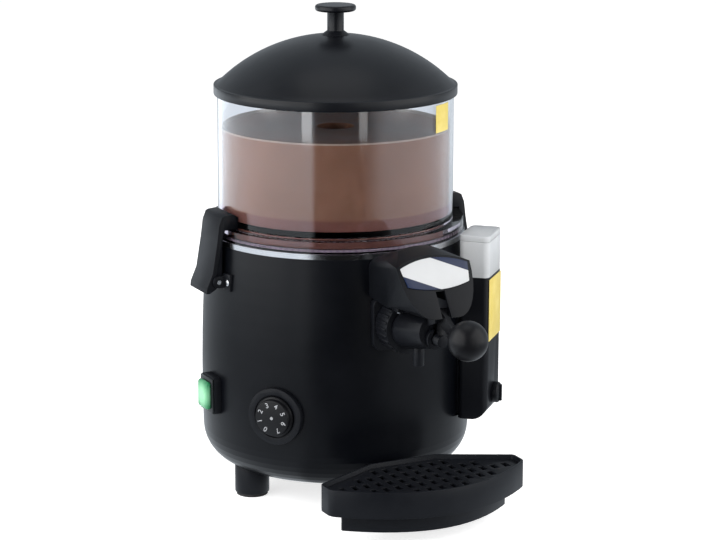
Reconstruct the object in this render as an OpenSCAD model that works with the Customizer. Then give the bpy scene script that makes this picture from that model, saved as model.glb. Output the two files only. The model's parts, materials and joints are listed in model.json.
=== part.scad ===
// Hot chocolate dispenser: a five litre bowl over a water-jacketed steel pan.
// Origin: middle of the machine on the table top. Front (the tap) is -Y, up is +Z.
// The bowl's axis stands axis_y behind the origin; modules are drawn round that axis.

/* [Feet and base] */
// Height of the body's underside above the table
body_z = 24; // [18:0.5:34]
// Radius of each leg
leg_r = 16.5; // [13:0.5:19]
// Distance of the legs from the bowl's axis
leg_ring = 98; // [94:0.5:104]
// Angle of the front legs from straight ahead
leg_front_a = 81; // [74:1:84]
// Angle of the rear legs from straight ahead
leg_rear_a = 152; // [146:1:156]
// Thickness of the rubber pad under a leg
pad_t = 3; // [2:0.5:4]
// Radius of the base plate
base_r = 93; // [88:0.5:95]
// Thickness of the base plate
base_t = 2.5; // [2:0.5:3]
// Radius of the body's open underside
underside_r = 80; // [74:0.5:82]

/* [Body] */
// Height of the body shell
body_h = 222; // [214:1:236]
// Largest radius of the body shell
body_r = 130; // [128:0.5:132]
// Height of the largest radius above the underside
belly_h = 81; // [70:1:95]
// Radius of the gentle curve up the side of the body
side_curve_r = 1750; // [1500:10:2400]
// Radius of the round bottom corner
corner_r = 34; // [30:0.5:38]
// Wall thickness of the body shell
wall = 4; // [3:0.5:4.5]

/* [Water tub] */
// Outer radius of the water tub
tub_r = 113; // [111:0.5:114]
// Depth of the water tub below the body's top
tub_depth = 124; // [116:1:130]
// Sheet thickness of the water tub
tub_t = 1.5; // [1:0.1:2]
// Radius of the heating ring
heater_ring = 72; // [60:1:85]
// Radius of the heating tube
heater_tube = 4; // [3:0.5:5]
// Gap between the heating ring and the tub's bottom
heater_lift = 4; // [3:0.5:8]

/* [Pan] */
// Radius of the polished rim
rim_r = 124.3; // [123.5:0.1:124.5]
// Height of the polished rim
rim_h = 5; // [4:0.5:7]
// Inner radius of the pan
pan_r = 104; // [100:0.5:105]
// Depth of the pan below the rim's top
pan_depth = 83; // [78:1:90]
// Sheet thickness of the pan
pan_t = 1.5; // [1:0.1:2]
// Radius of the tower that the drive shaft runs in
tower_r = 13; // [11:0.5:15]
// Wall thickness of the tower
tower_t = 2; // [1.5:0.1:2.5]
// Height of the tower above the rim
tower_h = 49; // [40:1:60]

/* [Bowl] */
// Outer radius of the bowl
bowl_r = 113; // [111:0.5:114]
// Wall thickness of the bowl
bowl_t = 3.5; // [2.5:0.1:4]
// Height of the bowl
bowl_h = 137; // [120:1:160]
// Radius of the bowl's foot flange
flange_r = 123; // [121:0.5:123.5]
// Thickness of the bowl's foot flange
flange_t = 11; // [9:0.5:12]
// Width of the gasket
gasket_w = 4; // [3:0.5:5]
// Thickness of the gasket
gasket_t = 2.5; // [2:0.5:3]
// Radius of the middle of the gasket
gasket_ring = 109; // [108:0.5:113]

/* [Lid] */
// Depth of the lid's rim band
lid_band = 9; // [7:0.5:12]
// Thickness of the lid's rim band
lid_band_t = 3; // [2.5:0.1:4]
// Radius of the lid's dome
dome_r = 160; // [150:1:180]
// Wall thickness of the lid
lid_t = 2.5; // [2:0.1:3.5]
// Radius of the lid knob's top
knob_r = 19.5; // [16:0.5:22]
// Thickness of the lid knob's top
knob_t = 6; // [5:0.5:8]
// Radius of the lid knob's stem
stem_r = 8; // [7:0.5:10]
// Height of the lid knob
knob_h = 28; // [24:1:34]
// Radius of the lid knob's foot
knob_foot_r = 13.5; // [12:0.5:16]

/* [Stirrer] */
// Radius of the drive shaft
shaft_r = 5; // [4:0.5:6]
// Clearance of the stirrer round the tower
stir_gap = 0.8; // [0.6:0.1:1.2]
// Wall thickness of the stirrer's hub
stir_t = 3; // [2.5:0.5:4]
// Reach of the stirrer's arms
stir_reach = 98; // [90:1:99]
// Height of the blades at the ends of the arms
blade_h = 78; // [60:1:110]
// Thickness of the arms and blades
blade_t = 6; // [4:0.5:8]
// Width of the end blades
blade_w = 10; // [8:0.5:14]
// Height of the stirrer's arms
arm_h = 12; // [9:0.5:16]

/* [Gear motor] */
// Radius of the gearbox
gearbox_r = 32; // [28:1:36]
// Height of the gearbox
gearbox_h = 26; // [22:1:30]
// Radius of the motor
motor_r = 24; // [20:1:27]
// Height of the motor
motor_h = 34; // [28:1:38]
// Sheet thickness of the motor bracket
bracket_t = 2.5; // [2:0.5:3]
// Half width of the motor bracket
bracket_w = 44; // [40:1:50]

/* [Latches] */
// Width of a latch clip
clip_w = 40; // [34:1:44]
// Distance of the latch pin out from the body
clip_pin_out = 2.5; // [2:0.1:4]
// Distance of the latch pin below the body's top
clip_pin_drop = 32; // [28:1:36]
// Radius of the latch pin
clip_pin_r = 2; // [1.8:0.1:2.5]
// Radius of the clip's hub round its pin
clip_hub_r = 4.6; // [4.4:0.1:5]
// Reach of the clip's finger lip out from the body
clip_out = 14; // [12:0.5:16]
// Thickness of the clip
clip_t = 4.5; // [3.5:0.5:5]
// Height of the clip above the bowl's flange
clip_rise = 14; // [10:0.5:18]

/* [Tap] */
// Height of the tap's axis above the body's underside
tap_h = 162; // [154:1:166]
// Outer radius of the pan's outlet tube
outlet_r = 12; // [10:0.5:13]
// Wall thickness of the pan's outlet tube
outlet_t = 2; // [1.5:0.1:2.5]
// Half width of the square collar behind the union nut
collar_w = 25; // [24:0.5:28]
// Distance of the square collar's front out from the body
collar_out = 2; // [1:0.5:4]
// Radius of the union nut
nut_r = 24; // [22:0.5:25]
// Length of the union nut
nut_len = 22; // [20:0.5:24]
// Number of ribs on the union nut
nut_ribs = 24; // [16:2:32]
// Radius of the collar's neck inside the union nut
neck_r = 19; // [18:0.5:20]
// Length of the collar's neck inside the union nut
neck_len = 11; // [10:0.5:12]
// Thickness of the tap seal
seal_t = 2.5; // [2:0.5:3]
// Radius of the tap's barrel behind the union nut's lip
barrel_r = 15.5; // [15:0.5:16]
// Radius of the tap's body at its rear
tap_rear_r = 19; // [18:0.5:20]
// Radius of the tap's body at its front
tap_front_r = 16; // [15:0.5:17]
// Height of the tap's front above its axis
tap_front_rise = 8; // [7:0.5:9]
// Distance of the tap's front out from the body
tap_front_out = 73.5; // [72:0.5:75]
// Radius of the spout
spout_r = 5.2; // [4.5:0.1:6]
// Wall thickness of the spout
spout_t = 1.6; // [1.2:0.1:2]
// Distance of the spout out from the body
spout_out = 42.5; // [41:0.5:44]
// Depth of the spout's tip below the tap's axis
spout_drop = 31; // [26:1:40]

/* [Tap valve] */
// Height of the valve above the tap's axis
valve_rise = 2; // [1:0.5:2.5]
// Radius of the valve's bore
valve_r = 5.5; // [5:0.1:6]
// Radius of the spring's pocket
pocket_r = 8; // [7.6:0.1:8.2]
// Length of the spring's pocket
pocket_len = 19.5; // [18:0.5:20]
// Radius of the spring's wire
spring_wire = 0.7; // [0.5:0.1:0.8]
// Number of turns of the return spring
spring_turns = 5; // [4:1:6]
// Radius of the lever's pin
lever_pin_r = 2.5; // [2:0.1:3]
// Distance of the lever's pin out from the body
lever_out = 83; // [82:0.5:84]
// Height of the lever's pin above the valve
lever_rise = 24; // [23:0.5:26]
// Thickness of the lever's plate
lever_t = 4; // [3:0.5:4.5]
// Radius of the round knob on the lever
ball_r = 18; // [16:0.5:20]
// Distance of the round knob out from the body
ball_out = 134; // [128:1:138]
// Height of the round knob above the tap's axis
ball_rise = 14; // [10:1:18]

/* [Tap hood] */
// Half width of the hood at the body
hood_rear_w = 25; // [24:0.5:27]
// Half width of the hood's face
hood_w = 37; // [34:0.5:39]
// Half width of the hood's beak
beak_w = 13; // [12:0.5:16]
// Distance of the top of the hood's face out from the body
face_out = 69; // [67:0.5:71]
// Height of the top of the hood's face above the tap's axis
face_rise = 69; // [66:0.5:72]
// Angle that the hood's face leans back
face_lean = 32; // [30:0.5:34]
// Length of the hood's face
face_len = 51; // [49:0.5:53]
// Height of the crown of the hood's face
face_crown = 9; // [6:0.5:10]
// Wall thickness of the hood
hood_t = 2.5; // [2:0.5:3]
// Half width of the lever's slot in the hood
slot_w = 4.6; // [4.4:0.1:5]
// Height of the badge plate
badge_h = 24; // [20:0.5:26]
// Thickness of the badge plate
badge_t = 1.2; // [1:0.1:2]

/* [Water box] */
// Angle of the water box from straight ahead
box_a = 46; // [42:1:50]
// Width of the water box
box_w = 49; // [44:1:52]
// Reach of the water box out from the body
box_out = 29; // [26:0.5:32]
// Height of the water box's underside above the body's underside
box_lift = 53; // [48:1:60]
// Height of the water box's black housing
box_h = 139; // [130:1:146]
// Height of the clear sight tank
sight_h = 34; // [28:1:40]
// Height of the water box's lid
box_lid_h = 6; // [5:0.5:8]
// Wall thickness of the water box
box_t = 2.5; // [2:0.1:3]
// Radius of the water box's upright corners
box_corner = 6; // [4:0.5:8]
// Radius of the water box's round bottom corner
box_toe = 16; // [12:1:20]
// Height of the connecting pipe above the body's underside
pipe_h = 126; // [118:1:134]
// Radius of the connecting pipe
pipe_r = 7; // [6:0.5:8]
// Radius of the drain plug's knob
plug_r = 10; // [8:0.5:11]
// Height of the drain plug above the box's underside
plug_h = 22; // [20:1:28]

/* [Controls] */
// Angle of the heat dial from straight ahead
dial_a = -51; // [-56:1:-46]
// Height of the heat dial above the body's underside
dial_h = 72; // [64:1:78]
// Radius of the dial's bezel
bezel_r = 27; // [25:0.5:30]
// Radius of the dial knob's skirt
dial_skirt_r = 19; // [17.5:0.5:21]
// Radius of the dial knob's face
dial_r = 17.5; // [16:0.5:18.5]
// Reach of the dial knob from the bezel
dial_reach = 8; // [7:0.5:12]
// Radius of the dial's spindle
spindle_r = 3; // [2.5:0.5:3.5]
// Angle of the switch from straight ahead
switch_a = -89; // [-94:1:-84]
// Height of the switch's middle above the body's underside
switch_h = 77; // [68:1:84]
// Width of the switch's frame
switch_w = 30; // [28:0.5:34]
// Height of the switch's frame
switch_len = 36; // [34:0.5:42]

/* [Drip tray] */
// Half width of the drip tray at its corners
tray_w = 100.5; // [96:0.5:106]
// Distance of the tray's corners from the bowl's axis
tray_corner_y = 175; // [168:0.5:180]
// Distance of the tray's front from the bowl's axis
tray_front_y = 238; // [232:0.5:242]
// Radius of the tray's rounded corners
tray_corner = 12; // [8:0.5:16]
// Height of the tray's top above the table
tray_top = 57; // [52:0.5:62]
// Height of the drip tray
tray_h = 25; // [21:0.5:28]
// Wall thickness of the tray
tray_t = 2.5; // [2:0.1:3]
// Height of the tray holder under the tray
holder_h = 18; // [14:0.5:20]
// Inset of the tray holder from the tray's edge
holder_inset = 16; // [12:0.5:20]
// Depth of the grate below the tray's top
grate_drop = 4; // [3:0.5:6]
// Thickness of the grate
grate_t = 3; // [2.5:0.5:4]
// Width of the grate's slots
slot_gap = 6; // [5:0.5:7]
// Spacing of the grate's slots
slot_step = 12; // [11:0.5:14]

/* [Cord gland] */
// Height of the cord gland above the body's underside
gland_h = 20; // [17:0.5:24]
// Radius of the cord gland's hole
gland_bore = 4.2; // [3.5:0.1:4.5]
// Radius of the cord gland's hexagon
gland_r = 9; // [8:0.5:10]

/* [Fits] */
// Clearance of a running fit, on the radius
run_gap = 0.05; // [0.02:0.01:0.09]
// Clearance between parts that lift off
loose_gap = 0.3; // [0.25:0.05:0.5]
// Clearance of a screw in its hole, on the radius
screw_gap = 0.05; // [0.02:0.01:0.1]
// Clearance of a part that seats on the body's curved side
seat_gap = 0.02; // [0.01:0.01:0.1]

/* [Hidden] */
$fn = 96;
SMALL_FN = 48;
HULL_FN = 32;
cut = 1;

// Distances from the bowl's axis of what stands out from the body
clip_pin_y = body_r + clip_pin_out;
clip_reach = body_r + clip_out;
collar_y = body_r + collar_out;
tap_front_y = body_r + tap_front_out;
spout_y = body_r + spout_out;
lever_y = body_r + lever_out;
ball_y = body_r + ball_out;
face_y = body_r + face_out;
box_reach = body_r + box_out;

// Heights of the stack, from the table up
body_top = body_z + body_h;
belly_z = body_z + belly_h;
base_z = body_z - base_t;
corner_x = side_r(body_z + corner_r) - corner_r;
rim_top = body_top + rim_h;
flange_top = rim_top + flange_t;
bowl_top = rim_top + bowl_h;
tub_z = body_top - tub_depth;
heater_end_x = 10;
heater_tail = 12;
pan_z = rim_top - pan_depth;
tower_top = rim_top + tower_h;

// Lid: the dome meets the band's inner edge at its top
skirt_in_r = bowl_r + loose_gap;
skirt_r = skirt_in_r + lid_band_t;
band_z = bowl_top - lid_band + lid_t;
band_top = band_z + lid_band;
dome_rise = sqrt(pow(dome_r, 2) - pow(skirt_in_r, 2));
dome_z = band_top - dome_rise;
lid_top = dome_z + dome_r;
machine_top = lid_top + knob_h;

// Fasteners
leg_screw_r = 2;
leg_screw_head_r = 4;
leg_screw_head_t = 3;
leg_pocket = 6;
base_screw_r = 1.6;
base_screw_head_r = 3.2;
base_screw_head_t = 1.8;
base_screw_len = 11;
base_screw_ring = underside_r + 6.5;
post_r = 4.5;
post_h = 14;

// Tap
tap_z = body_z + tap_h;
valve_z = tap_z + valve_rise;
nut_y = collar_y + 1;
neck_end = collar_y + neck_len;
seat_end = neck_end + seal_t;
nut_end = nut_y + nut_len;
nut_lip = 4.5;
foot_t = nut_end - nut_lip - seat_end - run_gap;
chamber_r = outlet_r - outlet_t;
chamber_end = 163;
front_z = tap_z + tap_front_rise;
pocket_y = tap_front_y - pocket_len;
nose_y = chamber_end + loose_gap;
nose_len = 4;
ring_inset = 1.2;
ring_w = 1.6;
waist_r = 2.4;
waist_end = spout_y + 14;
piston_r = valve_r - run_gap;
flange_len = 2.5;
piston_flange_y = tap_front_y - flange_len - run_gap;
piston_flange_r = pocket_r - loose_gap;
cap_len = 4.5;
cap_r = 10;
tip_r = 3;
tip_y = lever_y;
lever_swing = 20;
tip_relief = (piston_r + 1) * tan(lever_swing);
slot_rear = tip_y - tip_r - loose_gap;
slot_front = tip_y + tip_r + loose_gap;
head_end = slot_front + 2.4;
lever_z = valve_z + lever_rise;
hub_r = 6;
ear_t = 4;
ear_x = lever_t / 2 + 2;
ball_z = tap_z + ball_rise;
stalk_r = 3;

// Hood
face_z = tap_z + face_rise;
hood_floor = tap_z + nut_r + 2;
slot_top = 25;

// The machine's middle from front to back lies over the origin
front_reach = ball_y + ball_r;
axis_y = (front_reach - body_r) / 2;

// Water box
box_z = body_z + box_lift;
box_top = box_z + box_h;
sight_top = box_top + sight_h;
pipe_z = body_z + pipe_h;
plug_z = box_z + plug_h;
box_back = body_r - 0.5;

// Controls
dial_z = body_z + dial_h;
switch_z = body_z + switch_h;
gland_z = body_z + gland_h;
gland_seat = body_r - 3;

// Gear motor, hung under the tub on a bracket that stands on the base plate
gearbox_z = tub_z - 12 - gearbox_h;
motor_z = gearbox_z - motor_h;
bracket_z = gearbox_z - bracket_t;

// Latches
clip_pin_z = body_top - clip_pin_drop;
clip_top = flange_top + clip_rise;
ear_gap = 0.3;
bracket_ear_t = 3;

// Tray
tray_z = tray_top - tray_h;
holder_z = tray_z - holder_h;
grate_z = tray_top - grate_drop;
tray_bow = 43;
tray_back_y = 142;
tray_back_w = 34;
plug_drop = 3;
slot_len = 11;
slot_pitch = 16;
tongue_w = 44;
tongue_y = 62;
tongue_end = 168;
tongue_screw_x = 13;
tray_screw_head_r = 3;
tray_screw_head_t = 2;
tray_screw_grip = 9;

// ---------- shared shapes ----------

// Outer radius of the body at height z, on its gently curved side
function side_r(z) = body_r - pow(z - belly_z, 2) / (2 * side_curve_r);

// Points of an arc, from angle a0 to angle a1
function arc(x, y, r, a0, a1, n) =
    [for (i = [0:n]) [x + r * cos(a0 + (a1 - a0) * i / n), y + r * sin(a0 + (a1 - a0) * i / n)]];

// Side of the body as points, drawn in by inset, from the bottom corner up
function body_side(inset, n) =
    let (z0 = body_z + corner_r)
    [for (i = [1:n]) let (z = z0 + (body_top - z0) * i / n) [side_r(z) - inset, z]];

function body_outline(inset) = concat(
    arc(corner_x, body_z + corner_r, corner_r - inset, -90, 0, 9),
    body_side(inset, 12)
);

module placed() {
    translate([0, axis_y, 0]) children();
}

// A place on the machine's round side: local Z points outwards
module on_side(a, y, z) {
    rotate([0, 0, a]) translate([0, -y, z]) rotate([90, 0, 0]) children();
}

// Along the tap: local Z points to the front
module along_tap(y, z) {
    translate([0, -y, z]) rotate([90, 0, 0]) children();
}

module ring(r_out, r_in, h) {
    difference() {
        cylinder(r = r_out, h = h);
        translate([0, 0, -cut]) cylinder(r = r_in, h = h + 2 * cut);
    }
}

// The space that the body fills, for cutting what seats on it
module body_space(gap = 0) {
    rotate_extrude() polygon(concat(
        [[0, body_top], [0, body_z - gap]],
        arc(corner_x, body_z + corner_r, corner_r + gap, -90, 0, 9),
        body_side(-gap, 12)
    ));
}

module rounded_plate(w, d, r) {
    square([w - 2 * r, d], center = true);
    square([w, d - 2 * r], center = true);
    for (x = [-1, 1], y = [-1, 1]) {
        translate([x * (w / 2 - r), y * (d / 2 - r)]) circle(r = r, $fn = SMALL_FN);
    }
}

// A block that stands on the middle of its foot
module upright_block(w, d, h) {
    translate([-w / 2, -d / 2, 0]) cube([w, d, h]);
}

module countersunk_screw(r, head_r, head_t, len) {
    cylinder(r = r, h = len, $fn = SMALL_FN);
    cylinder(r1 = head_r, r2 = r, h = head_t, $fn = SMALL_FN);
}

module leg_places() {
    for (a = [-leg_rear_a, -leg_front_a, leg_front_a, leg_rear_a]) {
        rotate([0, 0, a]) translate([0, -leg_ring, 0]) children();
    }
}

module base_screw_places() {
    for (a = [45:90:315]) {
        rotate([0, 0, a]) translate([0, -base_screw_ring, 0]) children();
    }
}

// ---------- base and body ----------

module body_shell() {
    color("#1c1f26") placed() difference() {
        union() {
            rotate_extrude() polygon(concat(
                [[underside_r, body_z]],
                body_outline(0),
                [for (p = [12:-1:1]) body_side(wall, 12)[p - 1]],
                [for (p = [9:-1:0]) arc(corner_x, body_z + corner_r, corner_r - wall, -90, 0, 9)[p]],
                [[underside_r, body_z + wall]]
            ));
            // Ledge that carries the tub's flange
            intersection() {
                translate([0, 0, body_top - tub_t - wall]) ring(body_r + cut, tub_r + 1, wall);
                body_space(-wall / 2);
            }
            // Posts for the leg screws and the base screws
            intersection() {
                leg_places() translate([0, 0, body_z]) cylinder(r = post_r + 1.5, h = corner_r - 8);
                body_space(-wall / 2);
            }
            base_screw_places() translate([0, 0, body_z]) cylinder(r = post_r, h = post_h);
            on_side(180, gland_seat - 9, gland_z) cylinder(r = gland_r + 3, h = 9);
        }
        leg_places() {
            cylinder(r = leg_screw_r + screw_gap, h = body_z + corner_r - 12, $fn = SMALL_FN);
        }
        base_screw_places() translate([0, 0, body_z - cut]) {
            cylinder(r = base_screw_r + screw_gap, h = base_screw_len + cut, $fn = SMALL_FN);
        }
        // Openings for the tap, the water pipe, the controls and the cord gland
        on_side(0, body_r - 20, tap_z) cylinder(r = outlet_r + loose_gap, h = 40);
        on_side(box_a, body_r - 20, pipe_z) cylinder(r = pipe_r + loose_gap, h = 40);
        on_side(dial_a, body_r - 20, dial_z) cylinder(r = neck_hole_r, h = 40);
        on_side(switch_a, body_r - 20, switch_z) {
            upright_block(switch_w - 2 * switch_rim, switch_len - 2 * switch_end, 40);
        }
        on_side(180, body_r - 40, gland_z) cylinder(r = gland_bore + 2 + screw_gap, h = 60, $fn = SMALL_FN);
        on_side(180, gland_seat, gland_z) cylinder(r = gland_r + 1, h = 20, $fn = SMALL_FN);
        latch_screw_places() translate([0, 0, -6]) {
            cylinder(r = latch_screw_r + screw_gap, h = 12, $fn = SMALL_FN);
        }
    }
}

module base_plate() {
    color("#2a2d33") placed() difference() {
        union() {
            translate([0, 0, base_z]) cylinder(r = base_r, h = base_t);
            tray_screw_places() translate([0, 0, base_z - holder_z]) {
                cylinder(r = post_r, h = tray_screw_grip + 1);
            }
        }
        tray_screw_places() translate([0, 0, base_z - holder_z - cut]) {
            cylinder(r = base_screw_r + screw_gap, h = tray_screw_grip + cut, $fn = SMALL_FN);
        }
        base_screw_places() translate([0, 0, base_z - cut]) {
            cylinder(r = base_screw_r + screw_gap, h = base_t + 2 * cut, $fn = SMALL_FN);
            translate([0, 0, cut]) cylinder(
                r1 = base_screw_head_r + screw_gap, r2 = base_screw_r + screw_gap,
                h = base_screw_head_t, $fn = SMALL_FN
            );
        }
        // Cooling slots
        for (i = [-3:3]) translate([i * 9 - 2, -22, base_z - cut]) cube([4, 44, base_t + 2 * cut]);
        leg_places() translate([0, 0, base_z - cut]) cylinder(r = leg_r + loose_gap, h = base_t + 2 * cut);
    }
}

module base_screws() {
    color("silver") placed() base_screw_places() translate([0, 0, base_z]) {
        countersunk_screw(base_screw_r, base_screw_head_r, base_screw_head_t, base_screw_len);
    }
}

module legs() {
    color("#1c1f26") placed() difference() {
        leg_places() translate([0, 0, pad_t]) cylinder(r = leg_r, h = body_z + corner_r - pad_t - 6);
        body_space(seat_gap);
        leg_places() translate([0, 0, pad_t - cut]) {
            cylinder(r = leg_screw_head_r + 1, h = leg_pocket + cut, $fn = SMALL_FN);
            cylinder(r = leg_screw_r + screw_gap, h = body_z + corner_r, $fn = SMALL_FN);
        }
    }
}

module leg_screws() {
    color("silver") placed() leg_places() translate([0, 0, pad_t + leg_pocket - leg_screw_head_t]) {
        cylinder(r = leg_screw_head_r, h = leg_screw_head_t, $fn = SMALL_FN);
        cylinder(r = leg_screw_r, h = body_z + corner_r - 16 - pad_t - leg_pocket, $fn = SMALL_FN);
    }
}

module leg_pads() {
    color("#101112") placed() leg_places() {
        cylinder(r = leg_r - 1.5, h = pad_t, $fn = SMALL_FN);
        cylinder(r = leg_screw_head_r + 0.9, h = pad_t + leg_pocket - leg_screw_head_t - 0.1, $fn = SMALL_FN);
    }
}

// ---------- water jacket and pan ----------

module water_tub() {
    color("silver") placed() difference() {
        union() {
            translate([0, 0, tub_z]) cylinder(r = tub_r, h = tub_depth);
            translate([0, 0, body_top - tub_t]) cylinder(r = side_r(body_top) - wall - loose_gap, h = tub_t);
        }
        translate([0, 0, tub_z + tub_t]) cylinder(r = tub_r - tub_t, h = tub_depth);
        translate([0, 0, tub_z - cut]) cylinder(r = tower_r + run_gap, h = tub_t + 2 * cut);
        on_side(0, tub_r - 10, tap_z) cylinder(r = outlet_r + run_gap, h = 20);
        on_side(box_a, tub_r - 10, pipe_z) cylinder(r = pipe_r - 1, h = 20);
        for (x = [-1, 1]) {
            translate([x * heater_end_x, heater_ring, tub_z - cut]) {
                cylinder(r = heater_tube + run_gap, h = tub_t + 2 * cut, $fn = SMALL_FN);
            }
        }
    }
}

module heater_ring() {
    heater_z = tub_z + tub_t + heater_lift + heater_tube;
    color("#a8a39a") placed() difference() {
        union() {
            translate([0, 0, heater_z]) rotate_extrude() {
                translate([heater_ring, 0]) circle(r = heater_tube, $fn = SMALL_FN);
            }
            for (x = [-1, 1]) translate([x * heater_end_x, heater_ring, tub_z - heater_tail]) {
                cylinder(r = heater_tube, h = heater_z - tub_z + heater_tail, $fn = SMALL_FN);
            }
        }
        translate([-5, heater_ring - 12, heater_z - 8]) cube([10, 24, 16]);
    }
}

module steel_pan() {
    color("#d9dcdf") placed() difference() {
        union() {
            // Rolled rim
            translate([0, 0, body_top]) ring(rim_r, rim_r - 3, rim_h);
            translate([0, 0, rim_top - pan_t]) cylinder(r = rim_r, h = pan_t);
            translate([0, 0, pan_z]) cylinder(r = pan_r + pan_t, h = pan_depth);
            on_side(0, pan_r, tap_z) cylinder(r = outlet_r, h = neck_end - pan_r);
            translate([0, 0, tub_z - 10]) cylinder(r = tower_r, h = pan_z - tub_z + 12);
        }
        difference() {
            translate([0, 0, pan_z + pan_t]) cylinder(r = pan_r, h = pan_depth);
            cylinder(r = tower_r, h = tower_top);
        }
        translate([0, 0, tub_z - 11]) cylinder(r = tower_r - tower_t, h = tower_top);
        on_side(0, pan_r - 5, tap_z) cylinder(r = outlet_r - outlet_t, h = 60);
    }
    color("#d9dcdf") placed() translate([0, 0, rim_top]) ring(tower_r, tower_r - tower_t, tower_h);
}

module tub_seal_nut() {
    color("#c8a44a") placed() translate([0, 0, tub_z - 7]) difference() {
        cylinder(r = tower_r + 7, h = 7, $fn = 6);
        translate([0, 0, -cut]) cylinder(r = tower_r + run_gap, h = 7 + 2 * cut);
    }
}

// ---------- drive ----------

module gear_motor() {
    color("#7d828a") placed() difference() {
        union() {
            translate([0, 0, gearbox_z]) cylinder(r = gearbox_r, h = gearbox_h);
            translate([0, 0, motor_z]) cylinder(r = motor_r, h = motor_h);
        }
        translate([0, 0, gearbox_z + 4]) cylinder(r = shaft_r + run_gap, h = gearbox_h, $fn = SMALL_FN);
    }
}

module motor_bracket() {
    foot_z = body_z;
    color("#b9bdc2") placed() difference() {
        union() {
            translate([-bracket_w, -gearbox_r - 6, bracket_z]) {
                cube([2 * bracket_w, 2 * gearbox_r + 12, bracket_t]);
            }
            for (x = [-1, 1]) translate([x * (bracket_w - bracket_t / 2) - bracket_t / 2, -16, foot_z]) {
                cube([bracket_t, 32, bracket_z - foot_z + bracket_t]);
            }
            for (x = [-1, 1]) translate([x * (bracket_w - 6) - 6, -16, foot_z]) cube([12, 32, bracket_t]);
        }
        translate([0, 0, bracket_z - cut]) cylinder(r = motor_r + loose_gap, h = bracket_t + 2 * cut);
    }
}

module drive_shaft() {
    color("#c9ccd0") placed() translate([0, 0, gearbox_z + 5]) {
        cylinder(r = shaft_r, h = tower_top + 2 - gearbox_z - 5, $fn = SMALL_FN);
        cylinder(r = shaft_r - 1, h = tower_top + stir_gap + 9 - gearbox_z - 5, $fn = SMALL_FN);
    }
}

module shaft_seal() {
    color("#303234") placed() translate([0, 0, tower_top - 9]) {
        ring(tower_r - tower_t, shaft_r + run_gap, 9);
    }
}

module stirrer() {
    hub_in = tower_r + stir_gap;
    hub_out = hub_in + stir_t;
    floor_z = pan_z + pan_t + 1;
    fin_reach = 34;
    fin_drop = 34;
    fin_h = 22;
    color("#3a3d42") placed() difference() {
        union() {
            translate([0, 0, floor_z]) cylinder(r = hub_out, h = tower_top + 9 - floor_z);
            translate([-stir_reach, -blade_t / 2, floor_z]) cube([2 * stir_reach, blade_t, arm_h]);
            for (x = [-stir_reach, stir_reach - blade_w]) translate([x, -blade_t / 2, floor_z]) {
                cube([blade_w, blade_t, blade_h]);
            }
            translate([-fin_reach, -blade_t / 2, tower_top - fin_drop]) {
                cube([2 * fin_reach, blade_t, fin_h]);
            }
        }
        translate([0, 0, floor_z - cut]) cylinder(r = hub_in, h = tower_top + 2.6 - floor_z + cut);
        cylinder(r = shaft_r - 1, h = tower_top + stir_gap + 9 - 0.4, $fn = SMALL_FN);
    }
}

// ---------- bowl and lid ----------

module bowl_gasket() {
    color("#b8b4aa") placed() translate([0, 0, rim_top]) {
        ring(gasket_ring + gasket_w / 2, gasket_ring - gasket_w / 2, gasket_t);
    }
}

module bowl() {
    in_r = bowl_r - bowl_t;
    color([0.85, 0.87, 0.9, 0.35]) placed() rotate_extrude() difference() {
        polygon([
            [pan_r + 0.5, rim_top], [flange_r, rim_top], [flange_r, flange_top],
            [bowl_r, flange_top], [bowl_r, bowl_top], [in_r, bowl_top],
            [in_r, flange_top + 7], [pan_r + 0.5, flange_top]
        ]);
        translate([gasket_ring - gasket_w / 2, rim_top - cut]) square([gasket_w, gasket_t + cut]);
    }
}

module lid() {
    color("#23262e") placed() {
        translate([0, 0, band_z]) ring(skirt_r, skirt_in_r, lid_band);
        difference() {
            intersection() {
                translate([0, 0, dome_z]) difference() {
                    sphere(r = dome_r, $fn = 192);
                    sphere(r = dome_r - lid_t, $fn = 192);
                }
                translate([0, 0, bowl_top + 0.1]) cylinder(r = skirt_in_r + 0.5, h = dome_r);
            }
            translate([0, 0, lid_top - lid_t - 2]) {
                cylinder(r = leg_screw_r + screw_gap, h = 10, $fn = SMALL_FN);
            }
        }
    }
}

module lid_knob() {
    sit = lid_top - 0.55;
    color("#23262e") placed() difference() {
        union() {
            translate([0, 0, sit]) cylinder(r1 = knob_foot_r, r2 = stem_r, h = 4);
            translate([0, 0, sit]) cylinder(r = stem_r, h = knob_h);
            translate([0, 0, machine_top - knob_t]) rotate_extrude() {
                translate([0, 0]) square([knob_r - 2.5, knob_t]);
                translate([0, 2.5]) square([knob_r, knob_t - 5]);
                for (y = [2.5, knob_t - 2.5]) translate([knob_r - 2.5, y]) circle(r = 2.5, $fn = SMALL_FN);
            }
        }
        translate([0, 0, dome_z]) sphere(r = dome_r, $fn = 192);
        translate([0, 0, sit - 4]) cylinder(r = leg_screw_r + screw_gap, h = 16, $fn = SMALL_FN);
    }
}

module lid_knob_screw() {
    color("silver") placed() {
        translate([0, 0, lid_top - lid_t - 2.6]) cylinder(r = leg_screw_head_r, h = 2.4, $fn = SMALL_FN);
        translate([0, 0, lid_top - lid_t - 0.4]) cylinder(r = leg_screw_r, h = 12, $fn = SMALL_FN);
    }
}

// ---------- latches ----------

latch_screw_r = 1.5;
latch_flange_w = 11;
latch_flange_t = 2.5;
latch_ear_x = clip_w / 2 + ear_gap;
latch_screw_a = asin((latch_ear_x + bracket_ear_t + 4) / side_r(clip_pin_z));

// Extrudes a shape drawn as (distance from the axis, height) across the machine
module across(w) {
    rotate([90, 0, -90]) linear_extrude(w, center = true) children();
}

module latch_screw_places() {
    for (side = [-90, 90], k = [-1, 1]) {
        on_side(side + k * latch_screw_a, side_r(clip_pin_z) + latch_flange_t, clip_pin_z) children();
    }
}

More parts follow.
